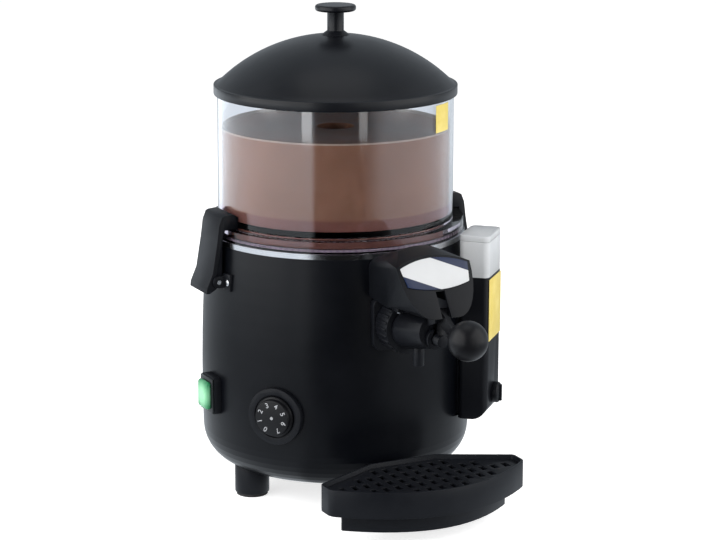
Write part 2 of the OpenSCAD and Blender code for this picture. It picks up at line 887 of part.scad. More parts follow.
module latch_brackets() {
    color("#23262e") placed() difference() {
        union() for (side = [-90, 90], k = [-1, 1]) rotate([0, 0, side]) {
            translate([k * (latch_ear_x + bracket_ear_t / 2), 0, 0]) across(bracket_ear_t) {
                translate([clip_pin_y, clip_pin_z]) circle(r = 5.5, $fn = SMALL_FN);
                translate([body_r - 14, clip_pin_z - 5.5]) square([clip_pin_y - body_r + 14, 11]);
            }
            intersection() {
                translate([k * (latch_ear_x + latch_flange_w / 2), -body_r + 5, clip_pin_z]) {
                    cube([latch_flange_w, 20, 16], center = true);
                }
                cylinder(r = side_r(clip_pin_z) + latch_flange_t, h = body_top);
            }
        }
        body_space(seat_gap);
        for (side = [-90, 90]) rotate([0, 0, side]) translate([0, -clip_pin_y, clip_pin_z]) {
            rotate([0, 90, 0]) {
                cylinder(r = clip_pin_r + seat_gap, h = clip_w + 20, center = true, $fn = SMALL_FN);
            }
        }
        latch_screw_places() translate([0, 0, -6]) {
            cylinder(r = latch_screw_r + screw_gap, h = 12, $fn = SMALL_FN);
        }
    }
}

module latch_screws() {
    color("silver") placed() latch_screw_places() {
        cylinder(r = 2.8, h = 1.4, $fn = SMALL_FN);
        translate([0, 0, -5]) cylinder(r = latch_screw_r, h = 5, $fn = SMALL_FN);
    }
}

module latch_pin(side) {
    pin_len = clip_w + 2 * bracket_ear_t + 1.2;
    color("silver") placed() rotate([0, 0, side]) translate([0, -clip_pin_y, clip_pin_z]) rotate([0, 90, 0]) {
        cylinder(r = clip_pin_r, h = pin_len, center = true, $fn = SMALL_FN);
    }
}

module latch_clip(side) {
    y = clip_pin_y;
    z = clip_pin_z;
    inner_y = rim_r + 3.2;
    color("#2b2e36") placed() rotate([0, 0, side]) difference() {
        across(clip_w) {
            polygon([
                [clip_reach, z - 11], [clip_reach - 0.5, z - 6], [y + 5, z + 8],
                [inner_y + clip_t + 0.6, rim_top], [inner_y + clip_t - 1.5, flange_top + 5],
                [inner_y + clip_t - 4.5, clip_top - 1.5], [inner_y + clip_t - 7, clip_top],
                [bowl_r + 3, clip_top + 0.8], [bowl_r - 3, clip_top - 2.5],
                [bowl_r - 3, flange_top + loose_gap], [flange_r + 1.5, flange_top + loose_gap],
                [inner_y, rim_top], [inner_y + 0.4, z + 8],
                [y - clip_hub_r + 0.1, z], [y - 1, z - clip_hub_r], [y + 3, z - 8], [clip_reach - 3.5, z - 11]
            ]);
            translate([y, z]) circle(r = clip_hub_r, $fn = SMALL_FN);
        }
        cylinder(r = bowl_r + loose_gap, h = machine_top);
        translate([0, -y, z]) rotate([0, 90, 0]) {
            cylinder(r = clip_pin_r + run_gap, h = clip_w + 10, center = true, $fn = SMALL_FN);
        }
    }
}

module left_latch_pin() { latch_pin(-90); }
module right_latch_pin() { latch_pin(90); }
module left_latch_clip() { latch_clip(-90); }
module right_latch_clip() { latch_clip(90); }

// ---------- tap ----------

hood_screw_x = 15;
hood_screw_y = 164;
hood_screw_r = 1.5;
lug_z = hood_floor - 6;
lug_t = 3.5;

module tap_collar() {
    color("#1c1f26") placed() difference() {
        union() {
            along_tap(collar_y - 14, tap_z) linear_extrude(14) rounded_plate(2 * collar_w, 2 * collar_w, 8);
            along_tap(collar_y, tap_z) cylinder(r = neck_r, h = neck_len);
        }
        body_space(seat_gap);
        along_tap(body_r - 20, tap_z) cylinder(r = outlet_r + run_gap, h = 60);
    }
}

module tap_seal() {
    color("#b8b4aa") placed() along_tap(neck_end, tap_z) ring(neck_r - 0.5, chamber_r, seal_t);
}

module union_nut() {
    rib_r = 1.5;
    color("#202329") placed() along_tap(nut_y, tap_z) difference() {
        union() {
            cylinder(r = nut_r, h = nut_len);
            for (i = [0:nut_ribs - 1]) rotate([0, 0, 360 * i / nut_ribs]) {
                translate([nut_r - 0.4, 0, 1.5]) cylinder(r = rib_r, h = nut_len - 3, $fn = 24);
            }
        }
        translate([0, 0, -cut]) cylinder(r = neck_r + run_gap, h = nut_len - nut_lip + cut);
        cylinder(r = barrel_r + loose_gap, h = nut_len + cut);
    }
}

module tap_body() {
    color("#1c1f26") placed() difference() {
        union() {
            along_tap(seat_end, tap_z) cylinder(r = neck_r - 0.1, h = foot_t);
            along_tap(seat_end, tap_z) cylinder(r = barrel_r, h = nut_end + 3 - seat_end);
            hull() {
                along_tap(nut_end + 1, tap_z) cylinder(r = tap_rear_r, h = 2, $fn = HULL_FN);
                along_tap(tap_front_y - 2, front_z) cylinder(r = tap_front_r, h = 2, $fn = HULL_FN);
            }
            // Ears of the lever's fork
            for (x = [-1, 1]) translate([x * (ear_x + ear_t / 2), 0, 0]) across(ear_t) {
                polygon([
                    [tap_front_y - 15, front_z], [tap_front_y - 15, lever_z - 2],
                    [lever_y - 4, lever_z + 4.5],
                    [lever_y + 4.8, lever_z], [lever_y + 4.8, lever_z - 6], [tap_front_y - 0.5, front_z + 6]
                ]);
                translate([lever_y, lever_z]) circle(r = 5.5, $fn = SMALL_FN);
            }
            // Lugs that the hood is screwed to
            translate([-hood_screw_x - 5, -hood_screw_y - 6, lug_z]) cube([2 * hood_screw_x + 10, 12, lug_t]);
            translate([-9, -hood_screw_y - 6, tap_z + 10]) cube([18, 12, lug_z - tap_z - 9]);
        }
        along_tap(seat_end - cut, tap_z) cylinder(r = chamber_r, h = chamber_end - seat_end + cut);
        along_tap(chamber_end - cut, valve_z) cylinder(r = valve_r, h = 60);
        along_tap(pocket_y, valve_z) cylinder(r = pocket_r, h = 60);
        translate([0, -spout_y, tap_z - 40]) cylinder(r = spout_r, h = 30);
        translate([0, -spout_y, tap_z - 40]) cylinder(r = spout_r - spout_t, h = 40);
        translate([0, -lever_y, lever_z]) rotate([0, 90, 0]) {
            cylinder(r = lever_pin_r + seat_gap, h = 40, center = true, $fn = SMALL_FN);
        }
        for (x = [-1, 1]) translate([x * hood_screw_x, -hood_screw_y, lug_z - cut]) {
            cylinder(r = hood_screw_r + screw_gap, h = lug_t + 2 * cut, $fn = SMALL_FN);
        }
        // Way for the lever's lower end
        translate([-lever_t / 2 - 0.6, -tap_front_y - cut, valve_z]) {
            cube([lever_t + 1.2, cut + 2.6, lever_z - valve_z - hub_r - 3]);
        }
    }
}

module spout() {
    color("#d9dcdf") placed() translate([0, -spout_y, tap_z - spout_drop]) {
        ring(spout_r - seat_gap, spout_r - spout_t, spout_drop - 10);
    }
}

module valve_piston() {
    color("#e6e4dc") placed() along_tap(0, valve_z) difference() {
        union() {
            translate([0, 0, nose_y]) cylinder(r = piston_r, h = nose_len);
            translate([0, 0, nose_y]) cylinder(r = waist_r, h = head_end - nose_y, $fn = SMALL_FN);
            translate([0, 0, waist_end]) cylinder(r = piston_r, h = head_end - waist_end);
            translate([0, 0, piston_flange_y]) cylinder(r = piston_flange_r, h = flange_len);
        }
        translate([0, 0, nose_y + ring_inset]) ring(piston_r + cut, piston_r - ring_inset, ring_w);
        translate([-lever_t / 2 - loose_gap, -2 * tip_r + 1.5, slot_rear]) {
            cube([lever_t + 2 * loose_gap, 4 * tip_r, slot_front - slot_rear]);
        }
    }
}

module piston_ring() {
    color("#202020") placed() along_tap(nose_y + ring_inset, valve_z) {
        ring(piston_r + run_gap / 2, piston_r - ring_inset, ring_w);
    }
}

// Points of the return spring's wire, sides to a ring and rings to a turn
spring_sides = 6;
spring_rings = 16;
spring_mid_r = (pocket_r + piston_r) / 2;
spring_y0 = pocket_y + spring_wire;
spring_y1 = piston_flange_y - spring_wire;

module return_spring() {
    n = spring_turns * spring_rings;
    pitch = (spring_y1 - spring_y0) / n;
    wire = [for (i = [0:n], j = [0:spring_sides - 1])
        let (a = 360 * i / spring_rings, b = 360 * j / spring_sides, r = spring_mid_r + spring_wire * cos(b))
        [r * cos(a), r * sin(a), spring_y0 + pitch * i + spring_wire * sin(b)]];
    skin = [for (i = [0:n - 1], j = [0:spring_sides - 1])
        let (k = (j + 1) % spring_sides, p = i * spring_sides, q = p + spring_sides)
        each [[p + j, q + j, p + k], [p + k, q + j, q + k]]];
    ends = [
        [for (j = [0:spring_sides - 1]) j],
        [for (j = [spring_sides - 1:-1:0]) n * spring_sides + j]
    ];
    color("silver") placed() along_tap(0, valve_z) polyhedron(points = wire, faces = concat(skin, ends));
}

module valve_cap() {
    color("#15171b") placed() along_tap(tap_front_y, valve_z) difference() {
        cylinder(r = cap_r, h = cap_len);
        translate([0, 0, -cut]) cylinder(r = valve_r, h = cap_len + 2 * cut);
        translate([-lever_t / 2 - 0.6, 0, -cut]) cube([lever_t + 1.2, cap_r + cut, cap_len + 2 * cut]);
    }
}

module tap_lever() {
    color("#101113") placed() difference() {
        union() {
            across(lever_t) {
                translate([tip_y, valve_z]) circle(r = tip_r, $fn = SMALL_FN);
                translate([tip_y - tip_r, valve_z]) square([2 * tip_r - tip_relief, lever_rise]);
                polygon([
                    [lever_y, lever_z + 5.9], [lever_y + 10, lever_z + 2], [ball_y - 22, ball_z + 4.5],
                    [ball_y - 22, ball_z - 4.5], [lever_y + 12, lever_z - 12], [lever_y, lever_z - 9]
                ]);
            }
            translate([0, -lever_y, lever_z]) rotate([0, 90, 0]) {
                cylinder(r = hub_r - 0.2, h = 2 * ear_x - 0.6, center = true, $fn = SMALL_FN);
            }
            along_tap(ball_y - 24, ball_z) cylinder(r = stalk_r, h = 22, $fn = SMALL_FN);
            along_tap(ball_y - 26, ball_z) cylinder(r = 5, h = 7, $fn = SMALL_FN);
        }
        translate([0, -lever_y, lever_z]) rotate([0, 90, 0]) {
            cylinder(r = lever_pin_r + run_gap, h = 40, center = true, $fn = SMALL_FN);
        }
    }
}

module lever_pin() {
    color("silver") placed() translate([0, -lever_y, lever_z]) rotate([0, 90, 0]) {
        cylinder(r = lever_pin_r, h = 2 * (ear_x + ear_t) + 0.8, center = true, $fn = SMALL_FN);
    }
}

module lever_knob() {
    seat_r = 5.1;
    bore_end = 16;
    color("#17181c") placed() along_tap(ball_y, ball_z) rotate_extrude() difference() {
        circle(r = ball_r);
        translate([-ball_r - cut, -ball_r - cut]) square([ball_r + cut, 2 * (ball_r + cut)]);
        translate([-cut, -ball_r - cut]) square([stalk_r + seat_gap + cut, bore_end + cut]);
        translate([-cut, -ball_r - cut]) square([ball_r, cut + 1.2]);
        translate([-cut, -ball_r - cut]) square([seat_r + cut, cut + 1.7]);
    }
}

// Frame of the hood's face: local Z points out of it, local Y up along it
module on_face() {
    translate([0, -face_y, face_z]) rotate([90 - face_lean, 0, 0]) children();
}

function face_top(x, half_w, crown) = crown * (1 - pow(x / half_w, 2));

// Half of the face's outline below its top corner, an ellipse's quarter
function face_side(in) = [for (i = [0:8]) let (a = 90 * i / 8)
    [beak_w - in + (hood_w - beak_w) * cos(a), -(face_len - in) * sin(a)]];

module face_outline(in) {
    side = face_side(in);
    w = hood_w - in;
    polygon(concat(
        side,
        [for (i = [8:-1:0]) [-side[i][0], side[i][1]]],
        [for (i = [-7:7]) [i * w / 8, face_top(i * w / 8, w, face_crown - in)]]
    ));
}

module hood_form(in) {
    floor_z = in > 0 ? hood_floor - 12 : hood_floor;
    mid_y = 168;
    mid_w = (hood_rear_w + hood_w) / 2 - in;
    mid_top = face_z + 11 - in;
    rear_top = body_top - in;
    hull() {
        on_face() translate([0, 0, -in - 0.5]) linear_extrude(0.5) face_outline(in);
        along_tap(mid_y, 0) linear_extrude(0.5) polygon(concat(
            [[-mid_w, floor_z], [mid_w, floor_z]],
            [for (i = [8:-1:-8]) let (x = mid_w * i / 8) [x, mid_top - 11 * pow(abs(x / mid_w), 2.4)]]
        ));
        along_tap(body_r - 15, 0) linear_extrude(0.5) {
            translate([0, rear_top - 10]) square([2 * (hood_rear_w - in - 10), 20], center = true);
            translate([0, (floor_z + rear_top - 10) / 2]) {
                square([2 * (hood_rear_w - in), rear_top - 10 - floor_z], center = true);
            }
            for (x = [-1, 1]) translate([x * (hood_rear_w - in - 10), rear_top - 10]) {
                circle(r = 10, $fn = HULL_FN);
            }
        }
        if (in > 0) along_tap(face_y + 18, floor_z) linear_extrude(0.5) {
            square([2 * (beak_w - in), 1], center = true);
        }
    }
}

module tap_hood() {
    color("#1f2229") placed() difference() {
        union() {
            difference() {
                hood_form(0);
                hood_form(hood_t);
            }
            intersection() {
                for (x = [-1, 1]) translate([x * hood_screw_x, -hood_screw_y, lug_z + lug_t + 0.05]) {
                    cylinder(r = 4, h = 60, $fn = SMALL_FN);
                }
                hood_form(hood_t / 2);
            }
        }
        body_space(loose_gap);
        translate([0, 0, body_top - cut]) cylinder(r = rim_r + loose_gap, h = face_rise);
        for (x = [-1, 1]) translate([x * hood_screw_x, -hood_screw_y, lug_z]) {
            cylinder(r = hood_screw_r + screw_gap, h = 16, $fn = SMALL_FN);
        }
        // Slot that the lever swings in
        on_face() translate([-slot_w, -face_len - 4, -30]) cube([2 * slot_w, face_len + 4 - slot_top, 34]);
    }
}

module hood_screws() {
    color("silver") placed() for (x = [-1, 1]) translate([x * hood_screw_x, -hood_screw_y, lug_z - 1.8]) {
        cylinder(r = 2.8, h = 1.8, $fn = SMALL_FN);
        cylinder(r = hood_screw_r, h = 15, $fn = SMALL_FN);
    }
}

module badge_plate() {
    w = hood_w - 3;
    low = [for (i = [-8:8]) let (x = i * (w - 3) / 8) [x, -badge_h + 6 * pow(x / w, 2)]];
    top = [for (i = [8:-1:-8]) let (x = i * w / 8) [x, face_top(x, hood_w, face_crown) - 2.5]];
    color("white") placed() on_face() linear_extrude(badge_t) polygon(concat(low, top));
}

// ---------- water box ----------

module box_plan(in) {
    depth = box_reach - box_back;
    translate([0, -box_back - depth / 2]) rounded_plate(box_w - 2 * in, depth - 2 * in, box_corner - in);
}

// The box's side view: its outer bottom corner is round
module box_side(in) {
    toe = box_toe - in;
    polygon(concat(
        [[body_r - 20, box_z + in]],
        arc(box_reach - box_toe, box_z + box_toe, toe, -90, 0, 10),
        [[box_reach - in, box_top + cut], [body_r - 20, box_top + cut]]
    ));
}

module water_box() {
    color("#1c1f26") placed() difference() {
        rotate([0, 0, box_a]) difference() {
            union() {
                intersection() {
                    translate([0, 0, box_z]) linear_extrude(box_h) box_plan(0);
                    across(box_w + 2) box_side(0);
                }
                translate([-box_w / 2 + 4, -box_back - box_t, box_z + 4]) cube([box_w - 8, 14, box_h - 8]);
            }
            intersection() {
                translate([0, 0, box_z]) linear_extrude(box_h + cut) box_plan(box_t);
                across(box_w + 2) box_side(box_t);
            }
        }
        body_space(seat_gap);
        on_side(box_a, body_r - 20, pipe_z) cylinder(r = pipe_r + run_gap, h = 30);
        on_side(box_a, box_reach - 12, plug_z) cylinder(r = plug_r / 2 + run_gap, h = 30, $fn = SMALL_FN);
    }
}

module sight_tank() {
    color([0.9, 0.92, 0.95, 0.35]) placed() rotate([0, 0, box_a]) translate([0, 0, box_top]) {
        linear_extrude(sight_h) difference() {
            box_plan(0);
            box_plan(box_t);
        }
    }
}

module water_box_lid() {
    color([0.9, 0.92, 0.95, 0.35]) placed() rotate([0, 0, box_a]) {
        translate([0, 0, sight_top]) linear_extrude(box_lid_h) box_plan(0);
        translate([0, 0, sight_top - 4]) linear_extrude(4) difference() {
            box_plan(box_t + loose_gap);
            box_plan(2 * box_t);
        }
    }
}

module water_pipe() {
    color("silver") placed() difference() {
        on_side(box_a, tub_r - 5, pipe_z) cylinder(r = pipe_r, h = box_back + box_t - tub_r + 5);
        on_side(box_a, tub_r - 10, pipe_z) cylinder(r = pipe_r - 1.5, h = 60);
        cylinder(r = tub_r, h = body_top);
    }
}

module drain_plug() {
    color("#101112") placed() on_side(box_a, box_reach, plug_z) {
        translate([0, 0, -box_t - 2]) cylinder(r = plug_r / 2, h = box_t + 3, $fn = SMALL_FN);
        cylinder(r = plug_r, h = 5);
        translate([0, 0, 5]) cylinder(r1 = plug_r, r2 = plug_r - 1.5, h = 1.5);
        translate([-1.5, -plug_r + 2, 5]) cube([3, 2 * plug_r - 4, 3.5]);
    }
}

module box_label() {
    label_h = 60;
    label_w = box_w - 2 * box_corner + 6;
    color("#f3e23c") placed() rotate([0, 0, box_a]) {
        translate([-label_w / 2, -box_reach - 0.5, box_top - label_h - 2]) cube([label_w, 0.5, label_h]);
    }
}

// ---------- controls ----------

neck_hole_r = spindle_r + 4;
bezel_seat = body_r + 0.6;
bezel_t = 4;
dial_seat = bezel_seat + bezel_t - 2 + loose_gap;
dial_bore = dial_reach - 2.5;
thermostat_w = 30;
thermostat_t = 22;
thermostat_y = body_r - wall - 6;

module dial_bezel() {
    color("#15171c") placed() difference() {
        on_side(dial_a, body_r - 14, dial_z) cylinder(r = bezel_r, h = 14 + bezel_seat - body_r + bezel_t);
        cylinder(r = body_r, h = body_top, $fn = 360);
        on_side(dial_a, body_r - 15, dial_z) cylinder(r = neck_hole_r, h = 40);
        on_side(dial_a, bezel_seat + bezel_t - 2, dial_z) cylinder(r = dial_skirt_r + 1.5, h = 10);
    }
}

module dial_knob() {
    color("#1a1c21") placed() on_side(dial_a, dial_seat, dial_z) difference() {
        union() {
            cylinder(r = dial_skirt_r, h = 3);
            translate([0, 0, 3]) cylinder(r1 = dial_skirt_r - 0.5, r2 = dial_r, h = dial_reach - 3);
        }
        translate([0, 0, -cut]) cylinder(r = spindle_r + seat_gap, h = dial_bore + cut, $fn = SMALL_FN);
    }
}

module dial_spindle() {
    color("silver") placed() on_side(dial_a, thermostat_y - 2, dial_z) {
        cylinder(r = spindle_r, h = dial_seat + dial_bore - 0.5 - thermostat_y + 2, $fn = SMALL_FN);
    }
}

module thermostat() {
    neck_h = bezel_seat + bezel_t - 2 - thermostat_y;
    color("#c9b458") placed() on_side(dial_a, thermostat_y - thermostat_t, dial_z) difference() {
        union() {
            translate([-thermostat_w / 2, -thermostat_w / 2, 0]) {
                cube([thermostat_w, thermostat_w, thermostat_t]);
            }
            translate([0, 0, thermostat_t - 1]) cylinder(r = neck_hole_r - screw_gap, h = neck_h + 1);
        }
        translate([0, 0, thermostat_t - 6]) {
            cylinder(r = spindle_r + run_gap, h = neck_h + 10, $fn = SMALL_FN);
        }
    }
}

switch_seat = body_r + 1.2;
switch_frame_t = 5;
switch_rim = 3;
switch_end = 4;
rocker_pin_r = 1.2;
rocker_w = switch_w - 12;
rocker_len = switch_len - 12;
boot_w = rocker_w + 4;
boot_len = rocker_len + 5;
boot_h = 7;

module switch_frame() {
    color("#101215") placed() difference() {
        on_side(switch_a, body_r - 12, switch_z) linear_extrude(12 + switch_seat - body_r + switch_frame_t) {
            rounded_plate(switch_w, switch_len, 4);
        }
        difference() {
            cylinder(r = body_r, h = body_top, $fn = 360);
            on_side(switch_a, body_r - 40, switch_z) {
                upright_block(
                    switch_w - 2 * switch_rim - loose_gap, switch_len - 2 * switch_end - loose_gap, 60
                );
            }
        }
        on_side(switch_a, body_r - 14, switch_z) {
            upright_block(rocker_w + 2.6 * loose_gap, rocker_len + 2.6 * loose_gap, 40);
        }
        on_side(switch_a, body_r - 4, switch_z) rotate([0, 90, 0]) {
            cylinder(r = rocker_pin_r + run_gap, h = rocker_w + 4, center = true, $fn = SMALL_FN);
        }
    }
}

module switch_rocker() {
    color("#35c26a") placed() on_side(switch_a, body_r - 4, switch_z) {
        intersection() {
            rotate([0, 90, 0]) cylinder(r = rocker_len / 2 - 0.5, h = rocker_w, center = true);
            translate([0, 0, -4]) upright_block(rocker_w, rocker_len, 12.5);
        }
        rotate([0, 90, 0]) cylinder(r = rocker_pin_r, h = rocker_w + 2.2, center = true, $fn = SMALL_FN);
    }
}

module switch_boot() {
    seat = switch_seat + switch_frame_t;
    color([0.45, 0.9, 0.6, 0.5]) placed() on_side(switch_a, seat, switch_z) {
        difference() {
            union() {
                linear_extrude(2) rounded_plate(switch_w - 2, switch_len - 2, 3);
                translate([0, 0, 2]) linear_extrude(boot_h - 2) rounded_plate(boot_w, boot_len, 5);
            }
            translate([0, 0, -cut]) linear_extrude(boot_h - 1.5 + cut) {
                rounded_plate(boot_w - 3, boot_len - 3, 4);
            }
        }
    }
}

// ---------- tray ----------

function tray_front(x) = tray_front_y - tray_bow * pow(x / tray_w, 2);

// Corners of the tray's plan, from the front round to the back
tray_corners = concat(
    [for (i = [-10:10]) [i * tray_w / 10, -tray_front(i * tray_w / 10)]],
    [[tray_w, -tray_corner_y], [tray_back_w, -tray_back_y]],
    [[-tray_back_w, -tray_back_y], [-tray_w, -tray_corner_y]]
);

// Swaps a corner for an arc of radius r that touches both of its sides
function round_corner(p, before, after, r) =
    let (
        u = (before - p) / norm(before - p), v = (after - p) / norm(after - p),
        half = acos(u * v) / 2, m = (u + v) / norm(u + v), mid = p + m * r / sin(half),
        a0 = atan2((p + u * r / tan(half) - mid)[1], (p + u * r / tan(half) - mid)[0]),
        a1 = atan2((p + v * r / tan(half) - mid)[1], (p + v * r / tan(half) - mid)[0]),
        turn = a1 - a0 > 180 ? a1 - a0 - 360 : a1 - a0 < -180 ? a1 - a0 + 360 : a1 - a0
    )
    arc(mid[0], mid[1], r, a0, a0 + turn, 6);

// Plan of the tray, drawn in by inset: an arc in front, and a back that narrows to the body
module tray_plan(inset) {
    p = tray_corners;
    n = len(p);
    offset(delta = -inset) polygon([for (i = [0:n - 1])
        let (r = (i == 0 || i == 20) ? tray_corner : (i == 21 || i == 24) ? 5 : 0)
        each (r > 0 ? round_corner(p[i], p[(i + n - 1) % n], p[(i + 1) % n], r) : [p[i]])
    ]);
}

module tray_screw_places() {
    for (x = [-1, 1]) translate([x * tongue_screw_x, -tongue_y - 9, holder_z]) children();
}

module tray_holder() {
    color("#1c1f26") placed() difference() {
        union() {
            difference() {
                translate([0, 0, holder_z]) linear_extrude(holder_h) tray_plan(holder_inset);
                translate([0, 0, holder_z + tray_t]) linear_extrude(holder_h) {
                    tray_plan(holder_inset + tray_t);
                }
            }
            // Tongue screwed to the base plate
            translate([-tongue_w / 2, -tongue_end, holder_z]) {
                cube([tongue_w, tongue_end - tongue_y, base_z - holder_z]);
            }
        }
        tray_screw_places() translate([0, 0, -cut]) {
            cylinder(r = base_screw_r + screw_gap, h = holder_h, $fn = SMALL_FN);
            cylinder(r = tray_screw_head_r + 0.3, h = cut + tray_screw_head_t, $fn = SMALL_FN);
        }
    }
}

module tray_screws() {
    color("silver") placed() tray_screw_places() {
        cylinder(r = tray_screw_head_r, h = tray_screw_head_t, $fn = SMALL_FN);
        cylinder(r = base_screw_r, h = base_z - holder_z + tray_screw_grip, $fn = SMALL_FN);
    }
}

module drip_tray() {
    plug = holder_inset + tray_t + loose_gap + 0.2;
    color("#23272f") placed() difference() {
        union() {
            translate([0, 0, tray_z]) linear_extrude(tray_h) tray_plan(0);
            translate([0, 0, tray_z - plug_drop]) linear_extrude(plug_drop + cut) tray_plan(plug);
        }
        translate([0, 0, tray_z + tray_t]) linear_extrude(tray_h) tray_plan(tray_t + 1.5);
        translate([0, 0, grate_z - grate_t]) linear_extrude(tray_h) tray_plan(tray_t);
        translate([0, 0, tray_z - plug_drop + tray_t]) linear_extrude(6) tray_plan(plug + tray_t);
    }
}

module tray_grate() {
    grate_in = tray_t + loose_gap;
    color("#2f343c") placed() difference() {
        translate([0, 0, grate_z - grate_t]) linear_extrude(grate_t) tray_plan(grate_in);
        for (row = [0:4], i = [-7:7]) {
            x = i * slot_step;
            y = tray_back_y + 14 + row * slot_pitch;
            back_slope = (tray_w - tray_back_w) / (tray_corner_y - tray_back_y);
            back_x = tray_back_w + back_slope * (y - 8 - tray_back_y);
            if (abs(x) < min(back_x, tray_w) - 10 && y + slot_len / 2 + 6 < tray_front(x) - grate_in) {
                translate([x - slot_gap / 2, -y - slot_len / 2, grate_z - grate_t - cut]) {
                    cube([slot_gap, slot_len, grate_t + 2 * cut]);
                }
            }
        }
    }
}

// ---------- mains entry ----------

module cord_gland() {
    color("#1a1a1c") placed() on_side(180, gland_seat, gland_z) difference() {
        union() {
            cylinder(r = gland_r, h = body_r - gland_seat, $fn = 6);
            translate([0, 0, -16]) cylinder(r = gland_bore + 2, h = 17, $fn = SMALL_FN);
        }
        translate([0, 0, -17]) cylinder(r = gland_bore, h = 30, $fn = SMALL_FN);
    }
}

module terminal_block() {
    block_y = 56;
    color("#e9e6dd") placed() translate([-24, block_y, body_z]) difference() {
        cube([48, 16, 14]);
        for (i = [0:3]) translate([6 + 12 * i, 8, 8]) cylinder(r = 2.5, h = 14, $fn = SMALL_FN);
        for (i = [0:3]) translate([6 + 12 * i, -cut, 4.5]) rotate([-90, 0, 0]) {
            cylinder(r = 2, h = 18, $fn = SMALL_FN);
        }
    }
}

body_shell();
base_plate();
base_screws();
legs();
leg_screws();
leg_pads();
water_tub();
heater_ring();
steel_pan();
tub_seal_nut();
gear_motor();
motor_bracket();
drive_shaft();
shaft_seal();
stirrer();
bowl_gasket();
bowl();
lid();
lid_knob();
lid_knob_screw();
latch_brackets();
latch_screws();
left_latch_pin();
left_latch_clip();
right_latch_pin();
right_latch_clip();
tap_collar();
tap_seal();
union_nut();
tap_body();
spout();
valve_piston();
piston_ring();
return_spring();
valve_cap();
tap_lever();
lever_pin();
lever_knob();
tap_hood();
hood_screws();
badge_plate();
water_box();
sight_tank();
water_box_lid();
water_pipe();
drain_plug();
box_label();
dial_bezel();
dial_knob();
dial_spindle();
thermostat();
switch_frame();
switch_rocker();
switch_boot();
tray_holder();
tray_screws();
drip_tray();
tray_grate();
cord_gland();
terminal_block();
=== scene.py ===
import json
import math

import bpy
from mathutils import Matrix, Vector


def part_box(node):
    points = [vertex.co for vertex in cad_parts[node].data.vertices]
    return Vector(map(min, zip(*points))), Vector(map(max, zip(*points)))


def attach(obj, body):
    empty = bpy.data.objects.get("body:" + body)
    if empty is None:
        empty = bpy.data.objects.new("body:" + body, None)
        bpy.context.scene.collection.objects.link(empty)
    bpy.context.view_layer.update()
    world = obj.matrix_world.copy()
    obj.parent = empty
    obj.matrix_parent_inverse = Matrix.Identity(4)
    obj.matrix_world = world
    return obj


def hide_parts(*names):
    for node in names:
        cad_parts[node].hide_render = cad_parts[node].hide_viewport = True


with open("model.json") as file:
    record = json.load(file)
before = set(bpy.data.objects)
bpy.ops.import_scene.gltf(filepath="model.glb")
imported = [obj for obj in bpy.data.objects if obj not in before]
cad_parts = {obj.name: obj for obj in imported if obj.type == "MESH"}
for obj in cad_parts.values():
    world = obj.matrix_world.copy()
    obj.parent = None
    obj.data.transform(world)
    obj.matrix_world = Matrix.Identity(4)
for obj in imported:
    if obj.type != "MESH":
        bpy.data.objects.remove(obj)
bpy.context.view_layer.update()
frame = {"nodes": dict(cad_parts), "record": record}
nodes = frame["nodes"]
record = frame["record"]

# ---- Camera and studio ------------------------------------------------------
# The photograph looks down a little on the machine, from the left of the tap, through a long lens.
# Tall white walls stand on both sides and leave a dark gap in front, which draws the upright bands.
bowl_low, bowl_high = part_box("bowl")
axis_x = (bowl_low[0] + bowl_high[0]) / 2
axis_y = (bowl_low[1] + bowl_high[1]) / 2
view_turn = -26
view_tilt = 12.66
view_distance = 2.327
aim_z = 0.240
aim = Vector((axis_x, axis_y, aim_z))


# The direction that lies turn degrees from straight ahead and tilt degrees up
def toward(turn, tilt=0):
    turn, tilt = math.radians(turn), math.radians(tilt)
    return Vector((math.sin(turn) * math.cos(tilt), -math.cos(turn) * math.cos(tilt), math.sin(tilt)))


camera_data = bpy.data.cameras.new("camera")
camera_data.sensor_width = 36
camera_data.lens = 121.09
camera_data.shift_x = 0.0314
camera_data.shift_y = -0.0461
camera_data.clip_end = 30
camera = bpy.data.objects.new("camera", camera_data)
bpy.context.collection.objects.link(camera)
camera.location = aim + toward(view_turn, view_tilt) * view_distance
camera.rotation_euler = (-toward(view_turn, view_tilt)).to_track_quat("-Z", "Y").to_euler()
bpy.context.scene.camera = camera
bpy.context.scene.view_settings.view_transform = "Standard"


# A flat lamp that glows as bright as the given white, seen from the machine
def softbox(name, turn, tilt, width, height, glow, distance=2.0):
    lamp = bpy.data.lights.new(name, "AREA")
    lamp.shape = "RECTANGLE"
    lamp.size = width
    lamp.size_y = height
    lamp.energy = glow * math.pi * width * height
    holder = bpy.data.objects.new(name, lamp)
    bpy.context.collection.objects.link(holder)
    holder.location = aim + toward(turn, tilt) * distance
    holder.rotation_euler = (-toward(turn, tilt)).to_track_quat("-Z", "Y").to_euler()


softbox("left_wall", turn=view_turn - 68, tilt=24, width=2.3, height=2.4, glow=2.7)
softbox("left_streak", turn=view_turn - 27, tilt=6, width=0.34, height=2.6, glow=3.6)
softbox("right_wall", turn=view_turn + 70, tilt=24, width=2.3, height=2.4, glow=2.1)
softbox("right_streak", turn=view_turn + 26, tilt=8, width=0.28, height=2.4, glow=2.3)
softbox("ceiling", turn=view_turn, tilt=88, width=1.3, height=1.3, glow=0.9)

# The room behind the picture is white to the camera, and dimmer to mirrors and through the clear wall
sky = bpy.data.worlds.new("studio")
sky.use_nodes = True
bpy.context.scene.world = sky
sky_nodes, sky_links = sky.node_tree.nodes, sky.node_tree.links
sky_ray = sky_nodes.new("ShaderNodeLightPath")
sky_place = sky_nodes.new("ShaderNodeTexCoord")
sky_front = sky_nodes.new("ShaderNodeVectorMath")
sky_front.operation = "DOT_PRODUCT"
sky_front.inputs[1].default_value = toward(view_turn)
